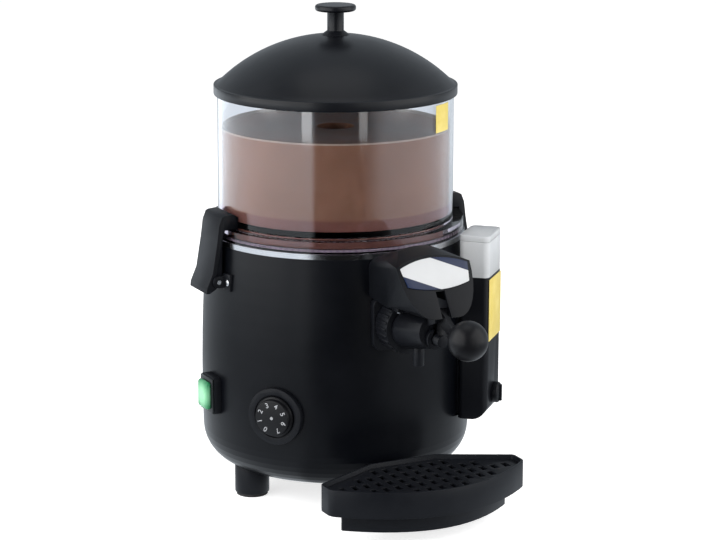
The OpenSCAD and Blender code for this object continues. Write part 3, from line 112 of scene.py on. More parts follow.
# Glossy surfaces see a bright wall behind the machine and a dark room in front of it
sky_shine = sky_nodes.new("ShaderNodeMapRange")
sky_shine.inputs["From Min"].default_value = -0.35
sky_shine.inputs["From Max"].default_value = 0.25
sky_shine.inputs["To Min"].default_value = 0.55
sky_shine.inputs["To Max"].default_value = 0.05
sky_dull = sky_nodes.new("ShaderNodeMix")
sky_dull.inputs["A"].default_value = 0.30
sky_clear = sky_nodes.new("ShaderNodeMix")
sky_clear.inputs["B"].default_value = 0.5
sky_seen = sky_nodes.new("ShaderNodeMix")
sky_seen.inputs["B"].default_value = 1.1
sky_links.new(sky_place.outputs["Generated"], sky_front.inputs[0])
sky_links.new(sky_front.outputs["Value"], sky_shine.inputs["Value"])
sky_links.new(sky_ray.outputs["Is Glossy Ray"], sky_dull.inputs["Factor"])
sky_links.new(sky_shine.outputs["Result"], sky_dull.inputs["B"])
sky_links.new(sky_ray.outputs["Is Camera Ray"], sky_seen.inputs["Factor"])
sky_links.new(sky_ray.outputs["Is Transmission Ray"], sky_clear.inputs["Factor"])
sky_links.new(sky_dull.outputs["Result"], sky_clear.inputs["A"])
sky_links.new(sky_clear.outputs["Result"], sky_seen.inputs["A"])
sky_color = sky_nodes.new("ShaderNodeMix")
sky_color.data_type = "RGBA"
sky_color.inputs["A"].default_value = (1, 1, 1, 1)
sky_color.inputs["B"].default_value = (0.84, 0.92, 1, 1)
sky_links.new(sky_ray.outputs["Is Glossy Ray"], sky_color.inputs["Factor"])
sky_links.new(sky_color.outputs["Result"], sky_nodes["Background"].inputs["Color"])
sky_links.new(sky_seen.outputs["Result"], sky_nodes["Background"].inputs["Strength"])

bpy.ops.object.select_all(action="DESELECT")
floor_size = 14
floor_behind = 4
bpy.ops.mesh.primitive_plane_add(size=floor_size, location=(0, floor_behind, 0))
floor = bpy.context.object
floor.name = "floor"
floor_paper = bpy.data.materials.new("floor_paper")
floor_paper.use_nodes = True
floor_nodes, floor_links = floor_paper.node_tree.nodes, floor_paper.node_tree.links
floor_look = floor_nodes["Principled BSDF"]
floor_look.inputs["Base Color"].default_value = (0.86, 0.86, 0.86, 1)
floor_look.inputs["Roughness"].default_value = 0.9
floor_look.inputs["Specular IOR Level"].default_value = 0.1
floor_look.inputs["Emission Color"].default_value = (1, 1, 1, 1)
floor_ray = floor_nodes.new("ShaderNodeLightPath")
floor_glow = floor_nodes.new("ShaderNodeMapRange")
floor_glow.inputs["To Min"].default_value = 0.05
floor_glow.inputs["To Max"].default_value = 0.72
floor_links.new(floor_ray.outputs["Is Camera Ray"], floor_glow.inputs["Value"])
floor_links.new(floor_glow.outputs["Result"], floor_look.inputs["Emission Strength"])
# Glossy surfaces mirror a table that is lit on both sides of the machine and dark in front of it
floor_place = floor_nodes.new("ShaderNodeNewGeometry")
floor_from_axis = floor_nodes.new("ShaderNodeVectorMath")
floor_from_axis.operation = "SUBTRACT"
floor_from_axis.inputs[1].default_value = (axis_x, axis_y, 0)
floor_way = floor_nodes.new("ShaderNodeVectorMath")
floor_way.operation = "NORMALIZE"
floor_aside = floor_nodes.new("ShaderNodeVectorMath")
floor_aside.operation = "DOT_PRODUCT"
floor_aside.inputs[1].default_value = toward(view_turn + 90)
floor_ahead = floor_nodes.new("ShaderNodeVectorMath")
floor_ahead.operation = "DOT_PRODUCT"
floor_ahead.inputs[1].default_value = toward(view_turn)
floor_far = floor_nodes.new("ShaderNodeVectorMath")
floor_far.operation = "LENGTH"
floor_links.new(floor_place.outputs["Position"], floor_from_axis.inputs[0])
floor_links.new(floor_from_axis.outputs["Vector"], floor_way.inputs[0])
floor_links.new(floor_from_axis.outputs["Vector"], floor_far.inputs[0])
floor_links.new(floor_way.outputs["Vector"], floor_aside.inputs[0])
floor_links.new(floor_way.outputs["Vector"], floor_ahead.inputs[0])


# A soft step that goes from the first level to the second as the source crosses the given span
def floor_step(source, span, levels):
    ramp = floor_nodes.new("ShaderNodeMapRange")
    ramp.interpolation_type = "SMOOTHSTEP"
    for name, value in zip(("From Min", "From Max", "To Min", "To Max"), (*span, *levels)):
        ramp.inputs[name].default_value = value
    floor_links.new(source, ramp.inputs["Value"])
    return ramp.outputs["Result"]


# One sum, product or maximum of two levels
def floor_math(kind, first, second):
    step = floor_nodes.new("ShaderNodeMath")
    step.operation = kind
    floor_links.new(first, step.inputs[0])
    floor_links.new(second, step.inputs[1])
    return step.outputs["Value"]


lit_left = floor_step(floor_aside.outputs["Value"], span=(-0.40, -0.30), levels=(1.0, 0.0))
lit_right = floor_step(floor_aside.outputs["Value"], span=(0.40, 0.80), levels=(0.0, 0.7))
lit_back = floor_step(floor_ahead.outputs["Value"], span=(-0.3, 0.1), levels=(0.5, 0.0))
lit_far = floor_step(floor_far.outputs["Value"], span=(0.5, 1.9), levels=(0.60, 1.75))
lit_near = floor_step(floor_far.outputs["Value"], span=(0.25, 0.60), levels=(0.6, 0.0))
lit_round = floor_math("MAXIMUM", floor_math("MAXIMUM", lit_left, lit_right), lit_back)
mirrored_floor = floor_nodes.new("ShaderNodeEmission")
mirrored_floor.inputs["Color"].default_value = (0.86, 0.93, 1, 1)
floor_links.new(
    floor_math("ADD", floor_math("MULTIPLY", lit_round, lit_far), lit_near), mirrored_floor.inputs["Strength"]
)
through_glass = floor_nodes.new("ShaderNodeEmission")
through_glass.inputs["Strength"].default_value = 0.5
floor_near = floor_nodes.new("ShaderNodeMixShader")
floor_links.new(floor_ray.outputs["Is Glossy Ray"], floor_near.inputs["Fac"])
floor_links.new(through_glass.outputs["Emission"], floor_near.inputs[1])
floor_links.new(mirrored_floor.outputs["Emission"], floor_near.inputs[2])
floor_pick = floor_nodes.new("ShaderNodeMixShader")
floor_links.new(
    floor_math("MAXIMUM", floor_ray.outputs["Is Transmission Ray"], floor_ray.outputs["Is Glossy Ray"]),
    floor_pick.inputs["Fac"],
)
floor_links.new(floor_look.outputs["BSDF"], floor_pick.inputs[1])
floor_links.new(floor_near.outputs["Shader"], floor_pick.inputs[2])
floor_links.new(floor_pick.outputs["Shader"], floor_nodes["Material Output"].inputs["Surface"])
floor.data.materials.append(floor_paper)

# ---- Body shell -------------------------------------------------------------
# A drawn steel drum with a rolled bottom corner, sprayed semi-matt black.
# The paint has a faint orange peel and is a shade rougher where it has been wiped.


# Fine grain for the bump, and soft wiped patches that change the colour and the roughness
def grain_group():
    group = bpy.data.node_groups.new("surface_grain", "ShaderNodeTree")
    face = group.interface
    for name, kind, value in (
        ("Color", "NodeSocketColor", (0.02, 0.02, 0.02, 1)),
        ("Wiped Color", "NodeSocketColor", (0.03, 0.03, 0.03, 1)),
        ("Roughness", "NodeSocketFloat", 0.4),
        ("Wiped Roughness", "NodeSocketFloat", 0.5),
        ("Grain Scale", "NodeSocketFloat", 900.0),
        ("Wipe Scale", "NodeSocketFloat", 14.0),
    ):
        socket = face.new_socket(name, in_out="INPUT", socket_type=kind)
        socket.default_value = value
    for name, kind in (
        ("Color", "NodeSocketColor"), ("Roughness", "NodeSocketFloat"), ("Height", "NodeSocketFloat")
    ):
        face.new_socket(name, in_out="OUTPUT", socket_type=kind)
    add, join = group.nodes.new, group.links.new
    given, out = add("NodeGroupInput"), add("NodeGroupOutput")
    place = add("ShaderNodeTexCoord")
    fine = add("ShaderNodeTexNoise")
    fine.inputs["Detail"].default_value = 2
    wipe = add("ShaderNodeTexNoise")
    wipe.inputs["Detail"].default_value = 5
    wipe.inputs["Roughness"].default_value = 0.62
    ramp = add("ShaderNodeMapRange")
    ramp.inputs["From Min"].default_value = 0.38
    ramp.inputs["From Max"].default_value = 0.68
    tint = add("ShaderNodeMix")
    tint.data_type = "RGBA"
    rough = add("ShaderNodeMix")
    rough.data_type = "FLOAT"
    join(place.outputs["Object"], fine.inputs["Vector"])
    join(place.outputs["Object"], wipe.inputs["Vector"])
    join(given.outputs["Grain Scale"], fine.inputs["Scale"])
    join(given.outputs["Wipe Scale"], wipe.inputs["Scale"])
    join(wipe.outputs["Fac"], ramp.inputs["Value"])
    join(ramp.outputs["Result"], tint.inputs["Factor"])
    join(given.outputs["Color"], tint.inputs["A"])
    join(given.outputs["Wiped Color"], tint.inputs["B"])
    join(ramp.outputs["Result"], rough.inputs["Factor"])
    join(given.outputs["Roughness"], rough.inputs["A"])
    join(given.outputs["Wiped Roughness"], rough.inputs["B"])
    join(tint.outputs["Result"], out.inputs["Color"])
    join(rough.outputs["Result"], out.inputs["Roughness"])
    join(fine.outputs["Fac"], out.inputs["Height"])
    return group


surface_grain = grain_group()


def shader_of(look):
    return look.node_tree.nodes["Principled BSDF"]


# A finish with fine grain, whose colour and roughness differ a little where it has been wiped
def grained(name, color, wiped, roughness, grain=900.0, depth=0.00004, wipe=14.0, shine=0.16):
    look = bpy.data.materials.new(name)
    look.use_nodes = True
    tree = look.node_tree
    shader = shader_of(look)
    shader.inputs["Specular IOR Level"].default_value = shine
    mix = tree.nodes.new("ShaderNodeGroup")
    mix.node_tree = surface_grain
    mix.inputs["Color"].default_value = (*color, 1)
    mix.inputs["Wiped Color"].default_value = (*wiped, 1)
    mix.inputs["Roughness"].default_value, mix.inputs["Wiped Roughness"].default_value = roughness
    mix.inputs["Grain Scale"].default_value = grain
    mix.inputs["Wipe Scale"].default_value = wipe
    bump = tree.nodes.new("ShaderNodeBump")
    bump.inputs["Strength"].default_value = 0.3
    bump.inputs["Distance"].default_value = depth
    tree.links.new(mix.outputs["Color"], shader.inputs["Base Color"])
    tree.links.new(mix.outputs["Roughness"], shader.inputs["Roughness"])
    tree.links.new(mix.outputs["Height"], bump.inputs["Height"])
    tree.links.new(bump.outputs["Normal"], shader.inputs["Normal"])
    return look


# Gives the frame's own nodes a finish
def dress(look, *names):
    for name in names:
        for place in nodes[name].material_slots:
            place.material = look


body_paint = grained(
    "black_body_paint", (0.0022, 0.0027, 0.0042), (0.0032, 0.0038, 0.0058),
    roughness=(0.28, 0.36), grain=420, depth=0.00008
)
dress(body_paint, "body_shell", "base_plate")

# ---- Legs and pads ----------------------------------------------------------
# Four moulded legs with a fine spark-eroded grain, each screwed up into the drum.
# A soft rubber pad is pressed into the foot of each.


def body_of(node):
    return next(name for name, held in record["behaviour"]["bodies"].items() if node in held)


def deselect():
    bpy.ops.object.select_all(action="DESELECT")


# Selects these pieces alone, with the first as the active one
def pick(*pieces):
    deselect()
    for piece in pieces:
        piece.select_set(True)
    bpy.context.view_layer.objects.active = pieces[0]


def apply_modifiers(piece):
    pick(piece)
    for step in list(piece.modifiers):
        bpy.ops.object.modifier_apply(modifier=step.name)


# A finished piece takes its node's place and body, and wears the given look
def fit_node(piece, node, look):
    piece.data.materials.clear()
    piece.data.materials.append(look)
    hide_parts(node)
    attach(piece, body_of(node))


def round_edges(piece, radius, segments=2):
    sharp_angle, smooth_angle = 32, 38
    bevel = piece.modifiers.new("edge", "BEVEL")
    bevel.width = radius
    bevel.segments = segments
    bevel.limit_method = "ANGLE"
    bevel.angle_limit = math.radians(sharp_angle)
    apply_modifiers(piece)
    bpy.ops.object.shade_smooth_by_angle(angle=math.radians(smooth_angle))


weld_gap = 0.000002


# The same solid as the frame's node, with the moulding's small edge radius
def eased(node, name, look, radius):
    flat_angle = 1.2
    piece = bpy.data.objects.new(name, nodes[node].data.copy())
    bpy.context.collection.objects.link(piece)
    pick(piece)
    bpy.ops.object.mode_set(mode="EDIT")
    bpy.ops.mesh.select_all(action="SELECT")
    bpy.ops.mesh.remove_doubles(threshold=weld_gap)
    bpy.ops.mesh.customdata_custom_splitnormals_clear()
    bpy.ops.mesh.dissolve_limited(angle_limit=math.radians(flat_angle))
    bpy.ops.object.mode_set(mode="OBJECT")
    round_edges(piece, radius)
    fit_node(piece, node, look)


black_moulding = grained(
    "black_moulding", (0.0050, 0.0057, 0.0080), (0.0072, 0.0082, 0.0110),
    roughness=(0.38, 0.48), grain=1500, depth=0.00006
)
rubber = grained(
    "soft_rubber", (0.03, 0.03, 0.032), (0.05, 0.05, 0.052), roughness=(0.75, 0.85), grain=2200
)
eased("legs", "moulded_legs", black_moulding, radius=0.0012)
dress(rubber, "leg_pads", "shaft_seal", "tap_seal", "piston_ring")

# ---- Water tub, heater, motor and inner metalwork ---------------------------
# Pressed stainless tub with a tubular heater below the pan, and a gear motor on a bent bracket.
# They hide inside the drum, so each keeps its plain form in its own finish.


def metal(name, color, roughness):
    wiped_share = 0.9
    wiped = [part * wiped_share for part in color]
    look = grained(name, color, wiped, roughness, grain=700.0, depth=0.00002, shine=0.5)
    shader_of(look).inputs["Metallic"].default_value = 1.0
    return look


bright_steel = metal("bright_steel", (0.55, 0.56, 0.58), roughness=(0.24, 0.34))
dress(bright_steel, "water_tub", "heater_ring", "motor_bracket", "drive_shaft", "water_pipe", "dial_spindle",
      "return_spring", "base_screws", "leg_screws", "tray_screws", "hood_screws", "lid_knob_screw",
      "left_latch_pin", "right_latch_pin", "lever_pin")
brass = metal("turned_brass", (0.62, 0.43, 0.16), roughness=(0.3, 0.42))
dress(brass, "tub_seal_nut")
motor_paint = grained("motor_paint", (0.12, 0.13, 0.15), (0.16, 0.17, 0.19), roughness=(0.45, 0.6))
dress(motor_paint, "gear_motor")
ivory = grained("ivory_moulding", (0.75, 0.73, 0.67), (0.7, 0.68, 0.62), roughness=(0.4, 0.5))
dress(ivory, "terminal_block", "thermostat")

# ---- Pan --------------------------------------------------------------------
# Spun and polished steel, with a rolled bright rim that shows between the drum and the bowl.
# The spinning tool leaves fine rings round the bowl's axis.
polished_steel = bpy.data.materials.new("spun_steel")
polished_steel.use_nodes = True
spun_nodes, spun_links = polished_steel.node_tree.nodes, polished_steel.node_tree.links
spun_shader = spun_nodes["Principled BSDF"]
spun_shader.inputs["Metallic"].default_value = 1.0
spun_place = spun_nodes.new("ShaderNodeTexCoord")
spun_centre = spun_nodes.new("ShaderNodeMapping")
spun_centre.inputs["Location"].default_value = (-axis_x, -axis_y, 0)
spun_flat = spun_nodes.new("ShaderNodeVectorMath")
spun_flat.operation = "MULTIPLY"
spun_flat.inputs[1].default_value = (1, 1, 0)
spun_radius = spun_nodes.new("ShaderNodeVectorMath")
spun_radius.operation = "LENGTH"
spun_split = spun_nodes.new("ShaderNodeSeparateXYZ")
spun_join = spun_nodes.new("ShaderNodeCombineXYZ")
spun_rings = spun_nodes.new("ShaderNodeTexNoise")
spun_rings.inputs["Scale"].default_value = 1600
spun_rings.inputs["Detail"].default_value = 2
spun_tone = spun_nodes.new("ShaderNodeMix")
spun_tone.data_type = "RGBA"
spun_tone.inputs["A"].default_value = (0.50, 0.51, 0.53, 1)
spun_tone.inputs["B"].default_value = (0.66, 0.67, 0.69, 1)
spun_rough = spun_nodes.new("ShaderNodeMapRange")
spun_rough.inputs["To Min"].default_value = 0.12
spun_rough.inputs["To Max"].default_value = 0.24
spun_bump = spun_nodes.new("ShaderNodeBump")
spun_bump.inputs["Strength"].default_value = 0.25
spun_bump.inputs["Distance"].default_value = 0.00002
spun_links.new(spun_place.outputs["Object"], spun_centre.inputs["Vector"])
spun_links.new(spun_centre.outputs["Vector"], spun_flat.inputs[0])
spun_links.new(spun_flat.outputs["Vector"], spun_radius.inputs[0])
spun_links.new(spun_centre.outputs["Vector"], spun_split.inputs["Vector"])
spun_links.new(spun_radius.outputs["Value"], spun_join.inputs["X"])
spun_links.new(spun_split.outputs["Z"], spun_join.inputs["Z"])
spun_links.new(spun_join.outputs["Vector"], spun_rings.inputs["Vector"])
spun_links.new(spun_rings.outputs["Fac"], spun_tone.inputs["Factor"])
spun_links.new(spun_tone.outputs["Result"], spun_shader.inputs["Base Color"])
spun_links.new(spun_rings.outputs["Fac"], spun_rough.inputs["Value"])
spun_links.new(spun_rough.outputs["Result"], spun_shader.inputs["Roughness"])
spun_links.new(spun_rings.outputs["Fac"], spun_bump.inputs["Height"])
spun_links.new(spun_bump.outputs["Normal"], spun_shader.inputs["Normal"])
dress(polished_steel, "steel_pan")

# ---- Bowl and its gasket ----------------------------------------------------
# A turned clear polycarbonate cylinder on a thick foot flange, with a soft haze of fine wear.
# Its thick foot is tinted a darker mauve below the flange top, a painted shade for the dark seen through it.
# It stands on a pale translucent silicone ring, and a blank yellow sticker is on its right side.
clear_wall = grained(
    "clear_polycarbonate", (0.93, 0.93, 0.95), (0.90, 0.91, 0.93),
    roughness=(0.03, 0.07), grain=60, depth=0.00002, shine=0.5
)
clear_shader = shader_of(clear_wall)
clear_shader.inputs["Transmission Weight"].default_value = 1.0
clear_shader.inputs["IOR"].default_value = 1.49
clear_tree = clear_wall.node_tree
foot_top = 0.2800
foot_blend = 0.0012
foot_place = clear_tree.nodes.new("ShaderNodeTexCoord")
foot_height = clear_tree.nodes.new("ShaderNodeSeparateXYZ")
# Painted shade: below the flange top the clear wall's colour turns a darker mauve
foot_shade_mask = clear_tree.nodes.new("ShaderNodeMapRange")
foot_shade_mask.inputs["From Min"].default_value = foot_top
foot_shade_mask.inputs["From Max"].default_value = foot_top - foot_blend
foot_painted_shade = clear_tree.nodes.new("ShaderNodeMix")
foot_painted_shade.data_type = "RGBA"
foot_painted_shade.inputs["B"].default_value = (0.80, 0.74, 0.84, 1)
clear_tree.links.new(foot_place.outputs["Object"], foot_height.inputs["Vector"])
clear_tree.links.new(foot_height.outputs["Z"], foot_shade_mask.inputs["Value"])
clear_tree.links.new(foot_shade_mask.outputs["Result"], foot_painted_shade.inputs["Factor"])
clear_tree.links.new(clear_shader.inputs["Base Color"].links[0].from_socket, foot_painted_shade.inputs["A"])
clear_tree.links.new(foot_painted_shade.outputs["Result"], clear_shader.inputs["Base Color"])
dress(clear_wall, "bowl")
silicone = grained("pale_silicone", (0.42, 0.36, 0.40), (0.48, 0.42, 0.46), roughness=(0.35, 0.45))
dress(silicone, "bowl_gasket")

sticker_turn = 36.2
sticker_w = 0.026
sticker_z = 0.366
sticker_h = 0.026
sticker_t = 0.0002
sticker_gap = 0.00005
flange_reach = 0.010
sticker_r = bowl_high[0] - axis_x - flange_reach + sticker_gap
yellow_look = grained(
    "yellow_label", (0.72, 0.57, 0.13), (0.80, 0.66, 0.22), roughness=(0.35, 0.45), wipe=60
)
deselect()
bpy.ops.mesh.primitive_grid_add(x_subdivisions=14, y_subdivisions=6, size=1)
sticker = bpy.context.object
sticker.name = "bowl_sticker"
for corner in sticker.data.vertices:
    around = corner.co.x * sticker_w / sticker_r
    out = toward(sticker_turn + math.degrees(around)) * sticker_r
    corner.co = (axis_x + out.x, axis_y + out.y, sticker_z + corner.co.y * sticker_h)
film = sticker.modifiers.new("film", "SOLIDIFY")
film.thickness = sticker_t
film.offset = 1
apply_modifiers(sticker)
round_smooth = math.radians(35)
bpy.ops.object.shade_smooth_by_angle(angle=round_smooth)
sticker.data.materials.append(yellow_look)
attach(sticker, "machine")

# ---- Drink ------------------------------------------------------------------
# Hot chocolate in the bowl, stood as high as the photograph shows, with a paler froth line.
# It is a ring of liquid that stays clear of the stirrer's arms and blades.
drink_top = 0.350
drink_side = 0.1093
drink_low = 0.2525
creep_w, creep_h = 0.0016, 0.0008
hub_clear = 0.0178
blade_clear = 0.0992
arms_clear = 0.2925
pan_side = 0.1040
pan_round_low, pan_round_high = 0.2622, 0.2694
drink_profile = [
    (hub_clear, arms_clear), (blade_clear, arms_clear), (blade_clear, drink_low), (pan_side, drink_low),
    (pan_side, pan_round_low), (drink_side, pan_round_high), (drink_side, drink_top),
    (drink_side - creep_w, drink_top - creep_h), (hub_clear, drink_top - creep_h),
]
froth_w, froth_h = 0.005, 0.0016
froth_sunk = 0.0006
wall_gap = 0.0002
crest_w, crest_drop = 0.0012, 0.0004
slope_w, slope_h = 0.0030, 0.0004
froth_profile = [
    (drink_side - froth_w, drink_top - froth_sunk), (drink_side - wall_gap, drink_top - wall_gap),
    (drink_side, drink_top + froth_h), (drink_side - crest_w, drink_top + froth_h - crest_drop),
    (drink_side - slope_w, drink_top + slope_h),
]


# A closed ring of the given outline, turned about an upright axis and then put in its place
def turned(name, profile, steps=96, place=Matrix.Translation((axis_x, axis_y, 0))):
    seam_gap = 0.000005
    deselect()
    bpy.ops.mesh.primitive_circle_add(vertices=len(profile), fill_type="NOTHING")
    piece = bpy.context.object
    piece.name = name
    for corner, (r, z) in zip(piece.data.vertices, profile):
        corner.co = (r, 0, z)
    bpy.ops.object.mode_set(mode="EDIT")
    bpy.ops.mesh.select_all(action="SELECT")
    bpy.ops.mesh.spin(steps=steps, angle=math.tau, center=(0, 0, 0), axis=(0, 0, 1), dupli=False)
    bpy.ops.mesh.select_all(action="SELECT")
    bpy.ops.mesh.remove_doubles(threshold=seam_gap)
    bpy.ops.mesh.delete_loose()
    bpy.ops.mesh.select_all(action="SELECT")
    bpy.ops.mesh.normals_make_consistent(inside=False)
    bpy.ops.object.mode_set(mode="OBJECT")
    piece.data.transform(place)
    bpy.ops.object.shade_smooth_by_angle(angle=round_smooth)
    return piece


# A piece that is only drawn here: it takes a look and rides on a body
def carried(piece, look, body):
    piece.data.materials.append(look)
    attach(piece, body)


drink_look = grained(
    "hot_chocolate", (0.31, 0.152, 0.098), (0.36, 0.178, 0.116),
    roughness=(0.4, 0.5), grain=160, depth=0.00001, wipe=26
)
drink_shader = shader_of(drink_look)
drink_shader.inputs["Subsurface Weight"].default_value = 0.1
drink_shader.inputs["Subsurface Radius"].default_value = (0.004, 0.002, 0.001)
carried(turned("hot_chocolate", drink_profile), drink_look, "machine")
froth_look = grained(
    "milk_froth", (0.50, 0.38, 0.31), (0.62, 0.50, 0.42),
    roughness=(0.5, 0.6), grain=1400, depth=0.0002, wipe=120
)
carried(turned("froth_line", froth_profile), froth_look, "machine")

# ---- Stirrer ----------------------------------------------------------------
# Dark moulded arms and end blades on a hub that drops over the pan's tower.
# Every edge that meets the drink is rounded for washing.
stirrer_look = grained(
    "stirrer_moulding", (0.03, 0.026, 0.024), (0.05, 0.044, 0.04), roughness=(0.4, 0.5)
)
eased("stirrer", "stirring_arms", stirrer_look, radius=0.0012)

# ---- Lid and its knob -------------------------------------------------------
# Vacuum-formed black dome with a turned-down band, a little shinier than the drum.
# Its mushroom knob is held by one screw from below.
lid_look = grained(
    "lid_moulding", (0.0036, 0.0042, 0.0060), (0.0052, 0.0060, 0.0084),
    roughness=(0.30, 0.38), grain=1300, shine=0.26
)
eased("lid", "lid_dome", lid_look, radius=0.0009)
eased("lid_knob", "lid_grip", lid_look, radius=0.0006)

# ---- Latches ----------------------------------------------------------------
# Moulded clips that hook over the bowl's flange and turn on steel pins in brackets.
# Each bracket is held to the drum by one domed screw with a cross recess.
eased("left_latch_clip", "left_clip", black_moulding, radius=0.0014)
eased("right_latch_clip", "right_clip", black_moulding, radius=0.0014)
eased("latch_brackets", "clip_brackets", black_moulding, radius=0.0006)
latch_head_r = 0.0028
latch_head_t = 0.0014
latch_shank_r = 0.0015
latch_shank_len = 0.005
recess_w = 0.0007
recess_len = 0.0026
recess_depth = 0.0007
side_share = 0.45
shoulder_r_share, shoulder_t_share = 0.72, 0.86
screw_profile = [
    (0, -latch_shank_len), (latch_shank_r, -latch_shank_len), (latch_shank_r, 0), (latch_head_r, 0),
    (latch_head_r, latch_head_t * side_share),
    (latch_head_r * shoulder_r_share, latch_head_t * shoulder_t_share), (0, latch_head_t),
]


# The middle of the box round each loose part of a node
def loose_middles(node):
    copy = bpy.data.objects.new("copy", nodes[node].data.copy())
    bpy.context.collection.objects.link(copy)
    pick(copy)
    bpy.ops.object.mode_set(mode="EDIT")
    bpy.ops.mesh.select_all(action="SELECT")
    bpy.ops.mesh.remove_doubles(threshold=weld_gap)
    bpy.ops.mesh.separate(type="LOOSE")
    bpy.ops.object.mode_set(mode="OBJECT")
    parts = list(bpy.context.selected_objects)
    middles = [sum((Vector(c) for c in part.bound_box), Vector()) / 8 for part in parts]
    for part in parts:
        bpy.data.objects.remove(part)
    return middles


screws = []
for middle in loose_middles("latch_screws"):
    out = Vector((middle.x - axis_x, middle.y - axis_y, 0))
    seat = out.length + (latch_shank_len - latch_head_t) / 2
    foot = Vector((axis_x, axis_y, middle.z)) + out.normalized() * seat
    place = Matrix.Translation(foot) @ out.to_track_quat("Z", "Y").to_matrix().to_4x4()
    screw = turned("latch_screw", screw_profile, steps=24, place=Matrix.Identity(4))
    for turn in (0, math.tau / 4):
        deselect()
        bpy.ops.mesh.primitive_cube_add(size=1)
        slot_cutter = bpy.context.object
        slot_cutter.data.transform(
            Matrix.Rotation(turn, 4, "Z")
            @ Matrix.Translation((0, 0, latch_head_t))
            @ Matrix.Diagonal((recess_len, recess_w, 2 * recess_depth, 1))
        )
        cross = screw.modifiers.new("cross", "BOOLEAN")
        cross.operation = "DIFFERENCE"
        cross.object = slot_cutter
        apply_modifiers(screw)
        bpy.data.objects.remove(slot_cutter)
    screw.data.transform(place)
    screws.append(screw)
pick(*screws)
bpy.ops.object.join()
screws[0].name = "latch_screw_heads"
fit_node(screws[0], "latch_screws", bright_steel)

# ---- Tap --------------------------------------------------------------------
# Black moulded tap, held to the pan's outlet by a ribbed union nut, with a ball on its lever.
# The spout and the valve are of the same black moulding, and the ball is smoother.
eased("tap_collar", "square_collar", black_moulding, radius=0.0008)
eased("union_nut", "ribbed_nut", black_moulding, radius=0.0005)
eased("tap_body", "tap_barrel", black_moulding, radius=0.0008)
eased("spout", "spout_tube", black_moulding, radius=0.0004)
eased("valve_cap", "valve_guide", black_moulding, radius=0.0005)
eased("valve_piston", "valve_rod", black_moulding, radius=0.0003)
ball_look = grained(
    "ball_moulding", (0.0045, 0.0047, 0.0060), (0.0065, 0.0068, 0.0084),
    roughness=(0.34, 0.42), grain=1200, depth=0.00003, shine=0.2
)
eased("tap_lever", "lever_arm", ball_look, radius=0.0006)
dress(ball_look, "lever_knob")

# ---- Hood and badge ---------------------------------------------------------
# A moulded cover over the tap with a blank white plate bonded to its leaning face.
# The plate has a navy band across two opposite corners and nothing printed on it.
hood_look = grained(
    "hood_moulding", (0.0036, 0.0042, 0.0060), (0.0060, 0.0070, 0.0096),
    roughness=(0.36, 0.46), grain=1500, depth=0.00006
)
eased("tap_hood", "hood_cover", hood_look, radius=0.0012)
badge_look = grained(
    "badge_white", (0.58, 0.59, 0.60), (0.62, 0.63, 0.64), roughness=(0.3, 0.38), shine=0.4
)
eased("badge_plate", "badge", badge_look, radius=0.0005)
badge_low, badge_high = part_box("badge_plate")
badge_shader = shader_of(badge_look)
badge_tree = badge_look.node_tree
band_share = 0.27
band_blend = 0.01
badge_place = badge_tree.nodes.new("ShaderNodeTexCoord")
badge_across = badge_tree.nodes.new("ShaderNodeMapping")
badge_across.vector_type = "TEXTURE"
badge_across.inputs["Location"].default_value = badge_low
badge_across.inputs["Scale"].default_value = [high - low for low, high in zip(badge_low, badge_high)]
badge_split = badge_tree.nodes.new("ShaderNodeSeparateXYZ")
badge_slant = badge_tree.nodes.new("ShaderNodeMath")
badge_slant.operation = "ADD"
badge_off = badge_tree.nodes.new("ShaderNodeMath")
badge_off.operation = "SUBTRACT"
badge_off.inputs[1].default_value = 1.0
badge_far = badge_tree.nodes.new("ShaderNodeMath")
badge_far.operation = "ABSOLUTE"
badge_mask = badge_tree.nodes.new("ShaderNodeMapRange")
badge_mask.inputs["From Min"].default_value = 1.0 - 2 * band_share
badge_mask.inputs["From Max"].default_value = 1.0 - 2 * band_share + band_blend
badge_tint = badge_tree.nodes.new("ShaderNodeMix")
badge_tint.data_type = "RGBA"
badge_tint.inputs["B"].default_value = (0.003, 0.012, 0.05, 1)
badge_tree.links.new(badge_place.outputs["Object"], badge_across.inputs["Vector"])
badge_tree.links.new(badge_across.outputs["Vector"], badge_split.inputs["Vector"])
badge_tree.links.new(badge_split.outputs["X"], badge_slant.inputs[0])
badge_tree.links.new(badge_split.outputs["Z"], badge_slant.inputs[1])
badge_tree.links.new(badge_slant.outputs["Value"], badge_off.inputs[0])
badge_tree.links.new(badge_off.outputs["Value"], badge_far.inputs[0])
badge_tree.links.new(badge_far.outputs["Value"], badge_mask.inputs["Value"])
badge_tree.links.new(badge_mask.outputs["Result"], badge_tint.inputs["Factor"])
badge_tree.links.new(badge_shader.inputs["Base Color"].links[0].from_socket, badge_tint.inputs["A"])
badge_tree.links.new(badge_tint.outputs["Result"], badge_shader.inputs["Base Color"])

# ---- Water box --------------------------------------------------------------
# Black moulded tank with a clear upper part, a clear lid, a blank yellow label and a drain plug.
# The clear parts are a cloudier plastic than the bowl.
eased("water_box", "water_box_housing", black_moulding, radius=0.001)
eased("drain_plug", "drain_knob", black_moulding, radius=0.0006)
cloudy = grained(
    "cloudy_plastic", (0.80, 0.82, 0.84), (0.88, 0.89, 0.90),
    roughness=(0.16, 0.26), grain=300, depth=0.00002, shine=0.5
)
cloudy_shader = shader_of(cloudy)
cloudy_shader.inputs["Transmission Weight"].default_value = 0.35
cloudy_shader.inputs["IOR"].default_value = 1.46
eased("sight_tank", "sight_window", cloudy, radius=0.0005)
eased("water_box_lid", "clear_cap", cloudy, radius=0.0008)
eased("box_label", "blank_label", yellow_look, radius=0.0002)

# ---- Heat dial --------------------------------------------------------------
# A flat turned grip with a skirt, in a shallow bezel.
# Plain figures are printed round its face, with a dot in the middle.


def joint_of(name):
    return next(row for row in record["behaviour"]["joints"] if row["name"] == name)


